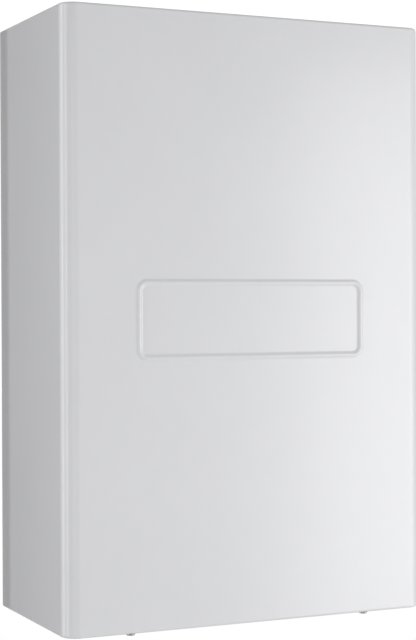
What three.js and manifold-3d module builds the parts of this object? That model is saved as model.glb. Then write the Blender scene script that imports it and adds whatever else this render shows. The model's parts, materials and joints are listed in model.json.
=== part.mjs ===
// A wall-hung, room-sealed combination boiler. Millimetres, +X right, +Y into the wall, +Z up.
// The origin is on the wall, on the line of the two hanging hooks, midway between them.
import * as THREE from "three";
import { mergeVertices } from "three/addons/utils/BufferGeometryUtils.js";
import Module from "manifold-3d";

// ---------------------------------------------------------------- driving dimensions
// Casing: the box that is seen
const CASING_WIDTH = 458;
const CASING_DEPTH = 225;
const CASING_HEIGHT = 700;
const CASING_SHEET = 1.5;
const CORNER_RADIUS = 18; // upright front corners
const EDGE_RADIUS = 3; // top and bottom edges
const RETURN_WIDTH = 14; // edge turned in round the top and the bottom
const BEAD_LENGTH = 284; // raised bead on the front, on its centre line
const BEAD_HEIGHT = 85;
const BEAD_WIDTH = 10;
const BEAD_RISE = 2;
const BEAD_CORNER = 10; // radius of the centre line
const BEAD_SHIFT = 1; // to the right of the middle
const HOOK_DROP = 30; // hook line below the casing's top
const ROOF_RECESS = 14; // top panel below the casing's top
const FLOOR_RECESS = 36; // bottom plate above the casing's lower edge

// Frame and wall bracket
const FRAME_SHEET = 1.5;
const FLANGE_DEPTH = 38; // side flanges of the rear frame
const LIP_HEIGHT = 14; // turned-down lips of the top panel and bottom plate
const BRACKET_WIDTH = 330;
const BRACKET_HEIGHT = 60;
const BRACKET_THICKNESS = 3;
const WALL_SCREW_HOLE = 9;
const WALL_SCREW_SPACING = 280;
const HOOK_SPACING = 200;
const HOOK_WIDTH = 30;
const HOOK_RISE = 12;
const HOOK_SLOT_HEIGHT = 18;

// Casing screws and the tabs that take them
const SCREW_INSET = 79; // casing's side to each screw
const SCREW_DIAMETER = 4;
const SCREW_LENGTH = 9;
const SCREW_HEAD_DIAMETER = 10;
const SCREW_HEAD_HEIGHT = 2.2;
const TAB_WIDTH = 30;
const TAB_REACH = 16;

// Heat module: a drum lying front to back
const DRUM_X = 10;
const DRUM_Z = -150;
const DRUM_RADIUS = 95;
const DRUM_WALL = 2;
const DRUM_BACK = 30; // wall to the drum's back
const DRUM_FRONT_ROOM = 65; // drum's front to the casing's face
const DRUM_FLANGE = 6;
const NIPPLE_LENGTH = 12; // past the drum
const NIPPLE_RADIUS = 10;
const WATER_NIPPLE_OFFSET = 45; // flow to the left, return to the right
const WATER_NIPPLE_Y = -50;
const DRAIN_OFFSET = 60;
const DRAIN_Y = -110;
const COIL_INNER_RADIUS = 59;
const COIL_GAP = 5; // coil to drum wall
const COIL_TURNS = 5;
const DOOR_THICKNESS = 8;
const DOOR_PLUG_DEPTH = 12;
const DOOR_COLLAR_HEIGHT = 4;
const GASKET_THICKNESS = 2;
const BURNER_RADIUS = 32;
const BURNER_LENGTH = 78;
const BURNER_WALL = 1;
const ELECTRODE_RADIUS = 5;
const ELECTRODE_ORBIT = 44;
const ELECTRODE_LENGTH = 40;
const ELECTRODE_TIP = 28;

// Flue
const FLUE_Y = -75;
const FLUE_RADIUS = 30;
const FLUE_WALL = 1.5;
const COLLAR_RADIUS = 50;
const COLLAR_WALL = 2;
const COLLAR_FLANGE = 11;
const SEAL_THICKNESS = 2;
const COLLAR_PLATE = 2;

// Fan, with its venturi and ducts
const FAN_SIDE_GAP = 19; // fan housing to the frame's side
const FAN_RADIUS = 52;
const FAN_WALL = 3;
const FAN_BACK = 95; // wall to the back of the fan housing
const FAN_DEPTH = 55;
const FAN_INLET_RADIUS = 18;
const FAN_OUTLET_REACH = 54; // fan axis to the mouth of its outlet
const FAN_OUTLET_RISE = 16; // fan axis to the lower side of its outlet
const IMPELLER_GAP = 5;
const IMPELLER_DISC = 3;
const IMPELLER_BLADES = 10;
const SHAFT_RADIUS = 4;
const FAN_MOTOR_RADIUS = 34;
const FAN_MOTOR_LENGTH = 46;
const MOTOR_FLANGE = 3;
const VENTURI_LENGTH = 46;
const VENTURI_BELL = 20;
const VENTURI_PORT_DROP = 34;
const VENTURI_PORT_RADIUS = 8;
const VENTURI_PORT_BORE = 4;
const VENTURI_FLANGE = 8; // past the fan's inlet
const VENTURI_NARROWING = 6;
const SILENCER_WIDTH = 50;
const SILENCER_HEIGHT = 84;
const SILENCER_DEPTH = 36;
const SILENCER_DROP = 26; // fan axis to the box's lower end
const DUCT_RADIUS = 14; // fan mouth to burner door
const DUCT_WALL = 2;
const DUCT_BEND = 22;
const DUCT_GAP = 5.7; // duct to the drum's flange, past which it runs forward

// Gas valve
const GAS_VALVE_Z = -340;
const GAS_VALVE_Y = -120;
const GAS_VALVE_SIZE = [70, 50, 70];
const GAS_BOSS_RADIUS = 12;
const GAS_BOSS_HEIGHT = 6;
const GAS_COIL_RADIUS = 17;
const GAS_COIL_LENGTH = 26;
const GAS_PIPE_BEND = 22;
const GAS_JOG_LOW = 70; // below the valve's boss, where the gas pipe leaves the tail's line
const GAS_JOG_HIGH = 30;
const GAS_TUBE_RUN = 30; // short of the fan's axis, where the gas tube turns
const GAS_TUBE_RISE = 50;

// Expansion vessel: a flat tank along the right side
const VESSEL_THICKNESS = 62;
const VESSEL_DEPTH = 180;
const VESSEL_HEIGHT = 440;
const VESSEL_CORNER = 45;
const VESSEL_ROUNDING = 16;
const VESSEL_WALL = 2;
const VESSEL_SIDE_GAP = 15; // tank to the frame's side
const VESSEL_BACK = 20; // wall to the tank
const VESSEL_TOP = -24;
const VESSEL_BOSS_OFFSET = 30; // right of the pump's axis
const BOSS_HEIGHT = 8;
const BOSS_WALL = 3; // round a small pipe

// Hydraulics, standing on the bottom plate
const TAIL_SIDE_ROOM = 99; // casing's side to the outermost tails
const TAIL_Y = -60;
const TAIL_RADIUS = 9;
const TAIL_WALL = 1.5;
const TAIL_NUT_ACROSS = 27;
const TAIL_NUT_HEIGHT = 14;
const TAIL_LIFT = 2; // tail ends above the casing's lower edge
const HOLE_PLAY = 0.5; // hole in sheet metal round what passes it
const BLOCK_DEPTH = 50;
const BLOCK_BASE_HEIGHT = 50;
const BLOCK_COLUMN_TOP = 170;
const COLUMN_WIDTH = 42;
const COLUMN_INSET = 35; // outermost tail to the left column
const RIGHT_COLUMN_INSET = 58;
const BLOCK_OVERHANG = 20; // left block past the outermost tail
const BLOCK_END_INSET = 15; // left block's other end past its inner tail
const DIVERTER_BORE = 11;
const DIVERTER_AXIS_Z = 26;
const DIVERTER_MOTOR_RADIUS = 22;
const DIVERTER_MOTOR_LENGTH = 52;
const DIVERTER_STEM = 3;
const DIVERTER_STEM_REACH = 30; // into the motor
const DIVERTER_LAND = 8;
const DIVERTER_LAND_PITCH = 24;
const DIVERTER_END = 5; // bore's end past the column's middle
const DIVERTER_TRAVEL = 8;
const PUMP_AXIS_Z = 74;
const PUMP_RADIUS = 42;
const PUMP_CAVITY_RADIUS = 34;
const PUMP_MOTOR_RADIUS = 35;
const PUMP_MOTOR_GAP = 11; // pump motor to the control box
const PUMP_BLADES = 6;
const FLOW_SENSOR_HEIGHT = 32;
const FLOW_SENSOR_RADIUS = 15;
const FLOW_BORE = 9;
const TURBINE_GAP = 0.5;
const TURBINE_BLADES = 5;
const VENT_RADIUS = 13;
const VENT_HEIGHT = 38;
const PLATE_PACK_GAP = 3.5; // plate pack to the pump
const PLATE_PACK_HEIGHT = 78;
const PLATE_PACK_DEPTH = 50;
const PLATE_PACK_Z = 128;
const PLATE_PACK_PLATES = 5;
const RELIEF_Z = 30;
const RELIEF_RADIUS = 12;
const RELIEF_GAP = 20.6; // relief knob to the control box
const KNOB_RADIUS = 15;
const KNOB_HEIGHT = 20;
const FILL_INSET = 48; // pump axis to the filling tap
const FILL_REACH = 15; // block face to the tap's axis
const FILL_RADIUS = 9;
const TRAP_SIDE_GAP = 14; // trap to the frame's side
const TRAP_Y = -110;
const TRAP_RADIUS = 19;
const TRAP_HEIGHT = 90;
const TRAP_NECK_RADIUS = 11;
const TRAP_NECK_HEIGHT = 12;
const WATER_PIPE_RADIUS = 9;
const GAS_PIPE_RADIUS = 8;
const SMALL_PIPE_RADIUS = 6;
const PIPE_WALL = 1;
const HOSE_RADIUS = 9;
const HOSE_WALL = 2;
const RISER_STRAIGHT = 60; // at both ends of a water pipe
const RISER_BEND = 30;
const HOSE_BEND = 26;
const HOSE_DROP = 88; // trap's mouth up to the hose's first bend
const HOSE_LEAD = 26; // and to its second

// Controls, reached from underneath
const CONTROL_WIDTH = 340;
const CONTROL_DEPTH = 50;
const CONTROL_HEIGHT = 118;
const CONTROL_WALL = 2;
const CONTROL_FRONT_GAP = 9; // lid to the casing's inside
const LID_THICKNESS = 2;
const PANEL_WIDTH = 280;
const PANEL_DEPTH = 44;
const PANEL_THICKNESS = 3;
const BOARD_THICKNESS = 1.6;
const BOARD_MARGIN = 10;
const STANDOFF_HEIGHT = 9;
const STANDOFF_RADIUS = 4;
const TRANSFORMER = [50, 46, 22]; // across, up and out from the board
const HEAT_SINK = [54, 26, 12];
const RELAY = [20, 24, 16];
const RELAY_PITCH = 26;
const RELAYS = 4;
const TERMINAL_HEIGHT = 9;
const TERMINAL_DEPTH = 11;
const PART_INSET = 12; // parts to the board's edges
const HEATING_KNOB_X = -105;
const WATER_KNOB_X = -55;
const BUTTON_X = -10;
const SWITCH_X = 35;
const GAUGE_X = 95;
const DIAL_RADIUS = 16;
const DIAL_HEIGHT = 15;
const DIAL_SHAFT = 3;
const BUTTON_RADIUS = 6;
const BUTTON_HEIGHT = 6;
const BUTTON_TRAVEL = 2.5;
const SWITCH_LENGTH = 26;
const SWITCH_WIDTH = 13;
const SWITCH_PIVOT = 3; // radius of its pivot bar
const SWITCH_SWING = 14; // degrees
const GAUGE_RADIUS = 20;
const GAUGE_HEIGHT = 14;
const GAUGE_WALL = 2;

// Clearances
const CLEAR = 0.3; // between pieces that seat on each other
const SLIDE_CLEAR = 0.5; // casing over the frame, and turning parts in their holes
const RUN_CLEAR = 3; // turning parts to the walls beside them

// ---------------------------------------------------------------- places that follow
const TOP_Z = HOOK_DROP;
const BOTTOM_Z = TOP_Z - CASING_HEIGHT;
const ROOF_Z = TOP_Z - ROOF_RECESS; // upper face of the top panel
const FLOOR_Z = BOTTOM_Z + FLOOR_RECESS; // upper face of the bottom plate
const UNDER_Z = FLOOR_Z - FRAME_SHEET;
const FRAME_X = CASING_WIDTH / 2 - CASING_SHEET - SLIDE_CLEAR;
const FRAME_Y = -(BRACKET_THICKNESS + CLEAR); // rear face of the rear frame
const FRAME_FRONT_Y = FRAME_Y - FRAME_SHEET;
const INSIDE_FRONT_Y = -(CASING_DEPTH - CASING_SHEET);
const PANEL_FRONT_Y = INSIDE_FRONT_Y + SLIDE_CLEAR;
const SCREW_SPACING = CASING_WIDTH - 2 * SCREW_INSET;
const SCREW_Y = -(CASING_DEPTH - RETURN_WIDTH / 2);
const DRUM_LENGTH = CASING_DEPTH - DRUM_BACK - DRUM_FRONT_ROOM;
const NIPPLE_DROP = DRUM_RADIUS + NIPPLE_LENGTH; // drum centre line to the ends of its lower nipples
const FLUE_RISE = DRUM_RADIUS + NIPPLE_LENGTH; // drum centre line to the top of its flue nipple
const DRUM_FRONT = DRUM_BACK + DRUM_LENGTH;
const DOOR_BACK = DRUM_FRONT + GASKET_THICKNESS + 2 * CLEAR;
const DOOR_FRONT = DOOR_BACK + DOOR_THICKNESS;
const FAN_X = -(FRAME_X - FAN_SIDE_GAP - FAN_RADIUS);
const FAN_FRONT = FAN_BACK + FAN_DEPTH;
const FAN_SPAN = [-FAN_FRONT, -FAN_BACK];
const FAN_CAVITY = [-FAN_FRONT + FAN_WALL, -FAN_BACK - FAN_WALL];
const FAN_MIDDLE = -(FAN_BACK + FAN_DEPTH / 2);
const OUTLET_Z = (FAN_OUTLET_RISE + FAN_RADIUS) / 2;
const DUCT_X = FAN_X + FAN_OUTLET_REACH + CLEAR + DUCT_RADIUS + DUCT_BEND; // where the duct runs forward
const DUCT_ORBIT = DRUM_RADIUS + DRUM_FLANGE + DUCT_GAP + DUCT_RADIUS; // drum's axis to the duct there
const FAN_Z = DRUM_Z + Math.sqrt(DUCT_ORBIT ** 2 - (DRUM_X - DUCT_X) ** 2) - OUTLET_Z;
const TAIL_PITCH = (CASING_WIDTH / 2 - TAIL_SIDE_ROOM) / 2;
const TAILS = [-2, -1, 0, 1, 2].map((step) => step * TAIL_PITCH);
const BLOCK_FRONT = BLOCK_DEPTH / 2; // from the row of tails
const COLUMN_OFFSET = 2 * TAIL_PITCH - COLUMN_INSET;
const RIGHT_COLUMN_OFFSET = 2 * TAIL_PITCH - RIGHT_COLUMN_INSET;
const DIVERTER_FACE = -2 * TAIL_PITCH - BLOCK_OVERHANG;
const PUMP_X = 2 * TAIL_PITCH;
const PUMP_CAVITY = [-BLOCK_FRONT, BLOCK_FRONT - 12];
const PACK_SPAN = [-COLUMN_OFFSET - COLUMN_WIDTH / 2, PUMP_X - PUMP_RADIUS - PLATE_PACK_GAP];
const PLATE_PACK_WIDTH = PACK_SPAN[1] - PACK_SPAN[0];
const PACK_X = (PACK_SPAN[0] + PACK_SPAN[1]) / 2;
const FILL_X = PUMP_X - FILL_INSET;
const FILL_Y = TAIL_Y - BLOCK_FRONT - FILL_REACH;
const TRAP_X = FRAME_X - TRAP_SIDE_GAP - TRAP_RADIUS;
const VESSEL_X = FRAME_X - VESSEL_SIDE_GAP - VESSEL_THICKNESS / 2;
const VESSEL_BOTTOM = VESSEL_TOP - VESSEL_HEIGHT;
const CONTROL_Y = INSIDE_FRONT_Y + CONTROL_FRONT_GAP + LID_THICKNESS + CLEAR + CONTROL_DEPTH / 2;
const CONTROL_BACK = CONTROL_Y + CONTROL_DEPTH / 2;
const CONTROL_SHAFTS = [HEATING_KNOB_X, WATER_KNOB_X];
const PUMP_MOTOR_LENGTH = TAIL_Y - BLOCK_FRONT - CLEAR - CONTROL_BACK - PUMP_MOTOR_GAP;
const RELIEF_LENGTH = TAIL_Y - BLOCK_FRONT - CLEAR - CONTROL_BACK - RELIEF_GAP - KNOB_HEIGHT - CLEAR;
const KNOB_Z = UNDER_Z - CLEAR - PANEL_THICKNESS - CLEAR; // where the knobs' upper faces are

// ---------------------------------------------------------------- finishes
const FINISH = {
  whitePaint: { color: 0xf1f1ef, roughness: 0.42, metalness: 0 },
  zinc: { color: 0xb9bec2, roughness: 0.38, metalness: 0.9 },
  stainless: { color: 0xc9ccce, roughness: 0.28, metalness: 1 },
  castAluminium: { color: 0xa9adb0, roughness: 0.55, metalness: 0.9 },
  copper: { color: 0xc27a52, roughness: 0.3, metalness: 1 },
  brass: { color: 0xc8a552, roughness: 0.32, metalness: 1 },
  composite: { color: 0x3a3d40, roughness: 0.6, metalness: 0 },
  blackPlastic: { color: 0x26282a, roughness: 0.5, metalness: 0 },
  greyPlastic: { color: 0x6d7276, roughness: 0.5, metalness: 0 },
  whitePlastic: { color: 0xe6e6e2, roughness: 0.45, metalness: 0 },
  redPaint: { color: 0xb3201c, roughness: 0.4, metalness: 0 },
  redPlastic: { color: 0xc0261f, roughness: 0.45, metalness: 0 },
  bluePlastic: { color: 0x1f5fa8, roughness: 0.45, metalness: 0 },
  rubber: { color: 0x1b1b1c, roughness: 0.85, metalness: 0 },
  ceramic: { color: 0xeeeae0, roughness: 0.3, metalness: 0 },
  circuit: { color: 0x1f6b3a, roughness: 0.5, metalness: 0 },
};

// ---------------------------------------------------------------- solids
const wasm = await Module();
wasm.setup();

/** Turns a closed geometry into a solid, with its faces pointing out. */
function solid(geometry) {
  const plain = geometry.clone();
  plain.deleteAttribute("normal");
  plain.deleteAttribute("uv");
  const merged = mergeVertices(plain, 1e-4);
  const at = merged.attributes.position;
  const corner = (i) => new THREE.Vector3().fromBufferAttribute(at, i);
  const faces = [];
  let volume = 0;
  for (let i = 0; i < merged.index.count; i += 3) {
    const face = [0, 1, 2].map((k) => merged.index.getX(i + k));
    if (new Set(face).size < 3) continue; // a face shrunk to nothing at a pole
    const [a, b, c] = face.map(corner);
    volume += a.dot(b.cross(c));
    faces.push(face);
  }
  const triVerts = Uint32Array.from(faces.flatMap((face) => (volume < 0 ? face.reverse() : face)));
  const vertProperties = new Float32Array(at.array);
  return new wasm.Manifold(new wasm.Mesh({ numProp: 3, vertProperties, triVerts }));
}

/** The solid's surface as a geometry. */
function surface(body) {
  const mesh = body.getMesh();
  const geometry = new THREE.BufferGeometry();
  geometry.setAttribute("position", new THREE.BufferAttribute(mesh.vertProperties, 3));
  geometry.setIndex(new THREE.BufferAttribute(mesh.triVerts, 1));
  geometry.computeVertexNormals();
  return geometry;
}

const join = (first, ...others) => others.reduce((whole, body) => whole.add(body), first);
const cut = (whole, ...tools) => tools.reduce((rest, tool) => rest.subtract(tool), whole);

/** A straight-sided block between two places on each axis. */
function block([x0, x1], [y0, y1], [z0, z1]) {
  const geometry = new THREE.BoxGeometry(x1 - x0, y1 - y0, z1 - z0);
  return solid(geometry.translate((x0 + x1) / 2, (y0 + y1) / 2, (z0 + z1) / 2));
}

/** Points a geometry that stands along +Y along another axis. */
function pointAlong(geometry, axis) {
  if (axis === "x") return geometry.rotateZ(-Math.PI / 2);
  return axis === "z" ? geometry.rotateX(Math.PI / 2) : geometry;
}

/** A turned body: its profile is a list of [radius, distance along the axis]. */
function turned(profile, axis, at = [0, 0, 0], sides = 20) {
  const closed = profile[0][0] === 0 ? profile : [...profile, profile[0]];
  const points = closed.map(([radius, along]) => new THREE.Vector2(radius, along));
  return solid(pointAlong(new THREE.LatheGeometry(points, sides), axis).translate(...at));
}

/** A round bar from one place on its axis to another. */
function rod(radius, [from, to], axis, at = [0, 0, 0], sides = 20) {
  return turned([[0, from], [radius, from], [radius, to], [0, to]], axis, at, sides);
}

/** A ring or short tube. */
function ring(inner, outer, [from, to], axis, at = [0, 0, 0], sides = 20) {
  return turned([[inner, from], [outer, from], [outer, to], [inner, to]], axis, at, sides);
}

/** A hexagon nut or collar, measured across its flats. */
function hexagon(across, [from, to], axis, at = [0, 0, 0]) {
  return rod(across / Math.sqrt(3), [from, to], axis, at, 6);
}

/** A flat outline run along an axis, with rounded rims where asked. */
function extruded(shape, [from, to], axis = "z", rounding = 0, curveSegments = 6) {
  const geometry = new THREE.ExtrudeGeometry(shape, {
    depth: to - from - 2 * rounding,
    bevelEnabled: rounding > 0,
    bevelSize: rounding,
    bevelThickness: rounding,
    bevelOffset: -rounding,
    bevelSegments: 3,
    curveSegments,
  }).translate(0, 0, from + rounding);
  if (axis === "y") geometry.rotateX(Math.PI / 2); // +Z becomes -Y, the outline stands upright
  if (axis === "x") geometry.rotateX(Math.PI / 2).rotateZ(Math.PI / 2); // +Z becomes +X
  return solid(geometry);
}

/** A rectangle with round corners, about the origin. */
function roundedRectangle(width, height, radius, outline = new THREE.Shape()) {
  const [w, h] = [width / 2, height / 2];
  outline.moveTo(w, h - radius);
  outline.absarc(w - radius, h - radius, radius, 0, Math.PI / 2);
  outline.absarc(radius - w, h - radius, radius, Math.PI / 2, Math.PI);
  outline.absarc(radius - w, radius - h, radius, Math.PI, 1.5 * Math.PI);
  outline.absarc(w - radius, radius - h, radius, 1.5 * Math.PI, 2 * Math.PI);
  outline.closePath();
  return outline;
}

/** The line of a pipe: straight runs between points, with a round bend at each inner one. */
function pipeLine(points, bend) {
  const stops = points.map((point) => new THREE.Vector3(...point));
  const line = new THREE.CurvePath();
  let from = stops[0];
  for (let i = 1; i < stops.length - 1; i += 1) {
    const before = stops[i].clone().sub(stops[i - 1]);
    const after = stops[i + 1].clone().sub(stops[i]);
    const room = Math.min(
      bend,
      before.length() * (i === 1 ? 0.9 : 0.5),
      after.length() * (i === stops.length - 2 ? 0.9 : 0.5),
    );
    const start = stops[i].clone().addScaledVector(before.normalize(), -room);
    const end = stops[i].clone().addScaledVector(after.normalize(), room);
    line.add(new THREE.LineCurve3(from, start));
    line.add(new THREE.QuadraticBezierCurve3(start, stops[i], end));
    from = end;
  }
  line.add(new THREE.LineCurve3(from, stops.at(-1)));
  return line;
}

/** A bent pipe with its bore. */
function pipe(points, { radius, wall, bend, steps = 12, sides = 8 }) {
  const round = (r, path) => {
    for (let i = 0; i < sides; i += 1) {
      const turn = (2 * Math.PI * i) / sides;
      path[i ? "lineTo" : "moveTo"](r * Math.cos(turn), r * Math.sin(turn));
    }
    path.closePath();
    return path;
  };
  const section = round(radius, new THREE.Shape());
  section.holes.push(round(radius - wall, new THREE.Path()));
  const extrudePath = pipeLine(points, bend);
  return solid(new THREE.ExtrudeGeometry(section, { steps, extrudePath, bevelEnabled: false }));
}

/** Adds one named sub-part to its group. */
function place(group, name, body, finish) {
  const mesh = new THREE.Mesh(surface(body), new THREE.MeshStandardMaterial(finish));
  mesh.name = name;
  group.add(mesh);
}

/** A group whose origin stands at a place of the boiler. */
function groupAt(x, y, z) {
  const group = new THREE.Group();
  group.position.set(x, y, z);
  return group;
}

// ---------------------------------------------------------------- casing and frame
const UPRIGHT = [BOTTOM_Z, TOP_Z];
const BEYOND = 20; // how far a cutter runs past what it cuts

/** The casing's outline seen from above, drawn in by an inset, and running on behind the wall. */
function casingOutline(inset) {
  const half = CASING_WIDTH / 2 - inset;
  const front = -(CASING_DEPTH - inset);
  const radius = Math.max(CORNER_RADIUS - inset, 2);
  const outline = new THREE.Shape();
  outline.moveTo(-half, BEYOND);
  outline.lineTo(-half, front + radius);
  outline.absarc(radius - half, front + radius, radius, Math.PI, 1.5 * Math.PI);
  outline.absarc(half - radius, front + radius, radius, 1.5 * Math.PI, 2 * Math.PI);
  outline.lineTo(half, BEYOND);
  outline.closePath();
  return outline;
}

function frontBead() {
  const bead = roundedRectangle(
    BEAD_LENGTH + BEAD_WIDTH, BEAD_HEIGHT + BEAD_WIDTH, BEAD_CORNER + BEAD_WIDTH / 2,
  );
  bead.holes.push(roundedRectangle(
    BEAD_LENGTH - BEAD_WIDTH, BEAD_HEIGHT - BEAD_WIDTH, BEAD_CORNER - BEAD_WIDTH / 2, new THREE.Path(),
  ));
  const run = [CASING_DEPTH - BEAD_RISE, CASING_DEPTH + BEAD_RISE];
  const geometry = new THREE.ExtrudeGeometry(bead, {
    depth: run[1] - run[0] - 2 * BEAD_RISE + 0.2,
    bevelThickness: BEAD_RISE - 0.1,
    bevelSize: BEAD_WIDTH * 0.35,
    bevelOffset: -BEAD_WIDTH * 0.35,
    bevelSegments: 2,
    curveSegments: 4,
  });
  geometry.translate(0, 0, run[0] + BEAD_RISE - 0.1).rotateX(Math.PI / 2);
  return solid(geometry.translate(BEAD_SHIFT, 0, (TOP_Z + BOTTOM_Z) / 2));
}

function casing() {
  const inner = [BOTTOM_Z + CASING_SHEET, TOP_Z - CASING_SHEET];
  const across = [-CASING_WIDTH, CASING_WIDTH];
  const slot = (side) => {
    const x = side * SCREW_SPACING / 2;
    const half = SCREW_DIAMETER / 2 + HOLE_PLAY;
    const back = -(CASING_DEPTH - RETURN_WIDTH - BEYOND);
    return block([x - half, x + half], [SCREW_Y - half, back], [BOTTOM_Z - 1, inner[0] + 1]);
  };
  return cut(
    join(extruded(casingOutline(0), UPRIGHT, "z", EDGE_RADIUS), frontBead()),
    block(across, [0, 2 * BEYOND], [BOTTOM_Z - BEYOND, TOP_Z + BEYOND]),
    extruded(casingOutline(CASING_SHEET), inner, "z", EDGE_RADIUS - CASING_SHEET),
    extruded(casingOutline(RETURN_WIDTH), [BOTTOM_Z - BEYOND, TOP_Z + BEYOND]),
    slot(-1),
    slot(1),
  );
}

function casingScrew(side) {
  const at = [side * SCREW_SPACING / 2, SCREW_Y, 0];
  const seat = BOTTOM_Z - CLEAR;
  return turned([
    [0, seat - SCREW_HEAD_HEIGHT],
    [SCREW_HEAD_DIAMETER / 2 - 1, seat - SCREW_HEAD_HEIGHT],
    [SCREW_HEAD_DIAMETER / 2, seat - SCREW_HEAD_HEIGHT / 2],
    [SCREW_HEAD_DIAMETER / 2, seat],
    [SCREW_DIAMETER / 2, seat],
    [SCREW_DIAMETER / 2, seat + SCREW_LENGTH],
    [0, seat + SCREW_LENGTH],
  ], "z", at, 16);
}

/** The plate on the wall, with its two hooks. */
function wallBracket() {
  const tip = FRAME_FRONT_Y - CLEAR - BRACKET_THICKNESS;
  const hook = (side) => {
    const x = side * HOOK_SPACING / 2;
    const span = [x - HOOK_WIDTH / 2, x + HOOK_WIDTH / 2];
    const low = -BRACKET_THICKNESS;
    return join(
      block(span, [tip, -BRACKET_THICKNESS / 2], [low, 0]),
      block(span, [tip, tip + BRACKET_THICKNESS], [low, HOOK_RISE]),
    );
  };
  const hole = (side) => rod(
    WALL_SCREW_HOLE / 2, [-BRACKET_THICKNESS - 1, 1], "y", [side * WALL_SCREW_SPACING / 2, 0, 0], 16,
  );
  const plate = block(
    [-BRACKET_WIDTH / 2, BRACKET_WIDTH / 2], [-BRACKET_THICKNESS, 0],
    [-BRACKET_HEIGHT / 2, BRACKET_HEIGHT / 2],
  );
  return cut(join(plate, hook(-1), hook(1)), hole(-1), hole(1));
}

/** Back sheet with side flanges, hook slots, and the pressed seats of drum and vessel. */
function rearFrame() {
  const low = FLOOR_Z + CLEAR;
  const high = ROOF_Z - FRAME_SHEET - CLEAR;
  const sheet = [FRAME_FRONT_Y, FRAME_Y];
  const flange = (side) => {
    const [a, b] = [side * FRAME_X, side * (FRAME_X - FRAME_SHEET)];
    return block([Math.min(a, b), Math.max(a, b)], [FRAME_Y - FLANGE_DEPTH, FRAME_Y], [low, high]);
  };
  const slot = (side) => {
    const x = side * HOOK_SPACING / 2;
    const half = HOOK_WIDTH / 2 + 1;
    return block([x - half, x + half], [FRAME_FRONT_Y - 1, FRAME_Y + 1], [CLEAR - HOOK_SLOT_HEIGHT, CLEAR]);
  };
  const seat = (x, z, width, height, reach) => cut(
    block([x - width / 2, x + width / 2], [reach, FRAME_FRONT_Y + FRAME_SHEET / 2],
      [z - height / 2, z + height / 2]),
    block([x - width / 2 + FRAME_SHEET, x + width / 2 - FRAME_SHEET], [reach + FRAME_SHEET, FRAME_FRONT_Y],
      [z - height, z + height]),
  );
  return cut(
    join(
      block([-FRAME_X, FRAME_X], sheet, [low, high]),
      flange(-1), flange(1),
      seat(DRUM_X, DRUM_Z, DRUM_RADIUS, DRUM_RADIUS, CLEAR - DRUM_BACK),
      seat(VESSEL_X, (VESSEL_TOP + VESSEL_BOTTOM) / 2, VESSEL_THICKNESS / 2, VESSEL_HEIGHT / 4,
        CLEAR - VESSEL_BACK),
    ),
    slot(-1), slot(1),
  );
}

/** A sheet that fills the casing's outline, with a lip turned down round its front and sides. */
function lippedSheet(top, lipBack) {
  const inset = CASING_SHEET + SLIDE_CLEAR;
  const low = top - LIP_HEIGHT;
  const beyond = [-CASING_WIDTH, CASING_WIDTH];
  return cut(
    extruded(casingOutline(inset), [low, top], "z", 0, 4),
    extruded(casingOutline(inset + FRAME_SHEET), [low - 1, top - FRAME_SHEET], "z", 0, 4),
    block(beyond, [FRAME_Y, 2 * BEYOND], [low - 1, top + 1]),
    block(beyond, [lipBack, 2 * BEYOND], [low - 1, top - FRAME_SHEET]),
  );
}

/** Top panel: its lip stops short of the rear frame's flanges, and it has the flue hole. */
function topPanel() {
  return cut(
    lippedSheet(ROOF_Z, FRAME_Y - FLANGE_DEPTH - CLEAR),
    rod(COLLAR_RADIUS - COLLAR_WALL - 2, [ROOF_Z - 5, ROOF_Z + 5], "z", [DRUM_X, FLUE_Y, 0], 24),
  );
}

/** The holes that sheet and panel share for the controls. */
function controlHoles(run) {
  return [
    ...CONTROL_SHAFTS.map((x) => rod(DIAL_SHAFT + SLIDE_CLEAR, run, "z", [x, CONTROL_Y, 0], 16)),
    rod(BUTTON_RADIUS / 2 + SLIDE_CLEAR, run, "z", [BUTTON_X, CONTROL_Y, 0], 16),
  ];
}

/** Bottom plate: a hole for each thing that passes, and the two tabs of the casing screws. */
function bottomPlate() {
  const run = [UNDER_Z - 1, FLOOR_Z + 1];
  const edge = FRAME_SHEET;
  const foot = BOTTOM_Z + CASING_SHEET + CLEAR;
  const front = PANEL_FRONT_Y + EDGE_RADIUS - CASING_SHEET; // behind the casing's rounded edge
  const tab = (side) => {
    const x = side * SCREW_SPACING / 2;
    const span = [x - TAB_WIDTH / 2, x + TAB_WIDTH / 2];
    return join(
      block(span, [front, front + edge], [foot, FLOOR_Z]),
      block(span, [front, front + TAB_REACH], [foot, foot + edge]),
    );
  };
  const hole = (radius, x, y) => rod(radius + HOLE_PLAY, run, "z", [x, y, 0], 14);
  const screwHole = (side) => rod(
    SCREW_DIAMETER / 2 + CLEAR, [foot - 1, foot + edge + 1], "z", [side * SCREW_SPACING / 2, SCREW_Y, 0], 12,
  );
  return cut(
    join(lippedSheet(FLOOR_Z, FRAME_Y - edge), tab(-1), tab(1)),
    ...TAILS.map((x) => hole(TAIL_RADIUS, x, TAIL_Y)),
    hole(FILL_RADIUS, FILL_X, FILL_Y),
    hole(TRAP_NECK_RADIUS, TRAP_X, TRAP_Y),
    ...controlHoles(run),
    screwHole(-1), screwHole(1),
  );
}

function enclosure() {
  const group = groupAt(0, 0, 0);
  place(group, "casing", casing(), FINISH.whitePaint);
  place(group, "casing_screw_left", casingScrew(-1), FINISH.stainless);
  place(group, "casing_screw_right", casingScrew(1), FINISH.stainless);
  place(group, "wall_bracket", wallBracket(), FINISH.zinc);
  place(group, "rear_frame", rearFrame(), FINISH.zinc);
  place(group, "top_panel", topPanel(), FINISH.whitePaint);
  place(group, "bottom_plate", bottomPlate(), FINISH.zinc);
  return group;
}

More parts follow.
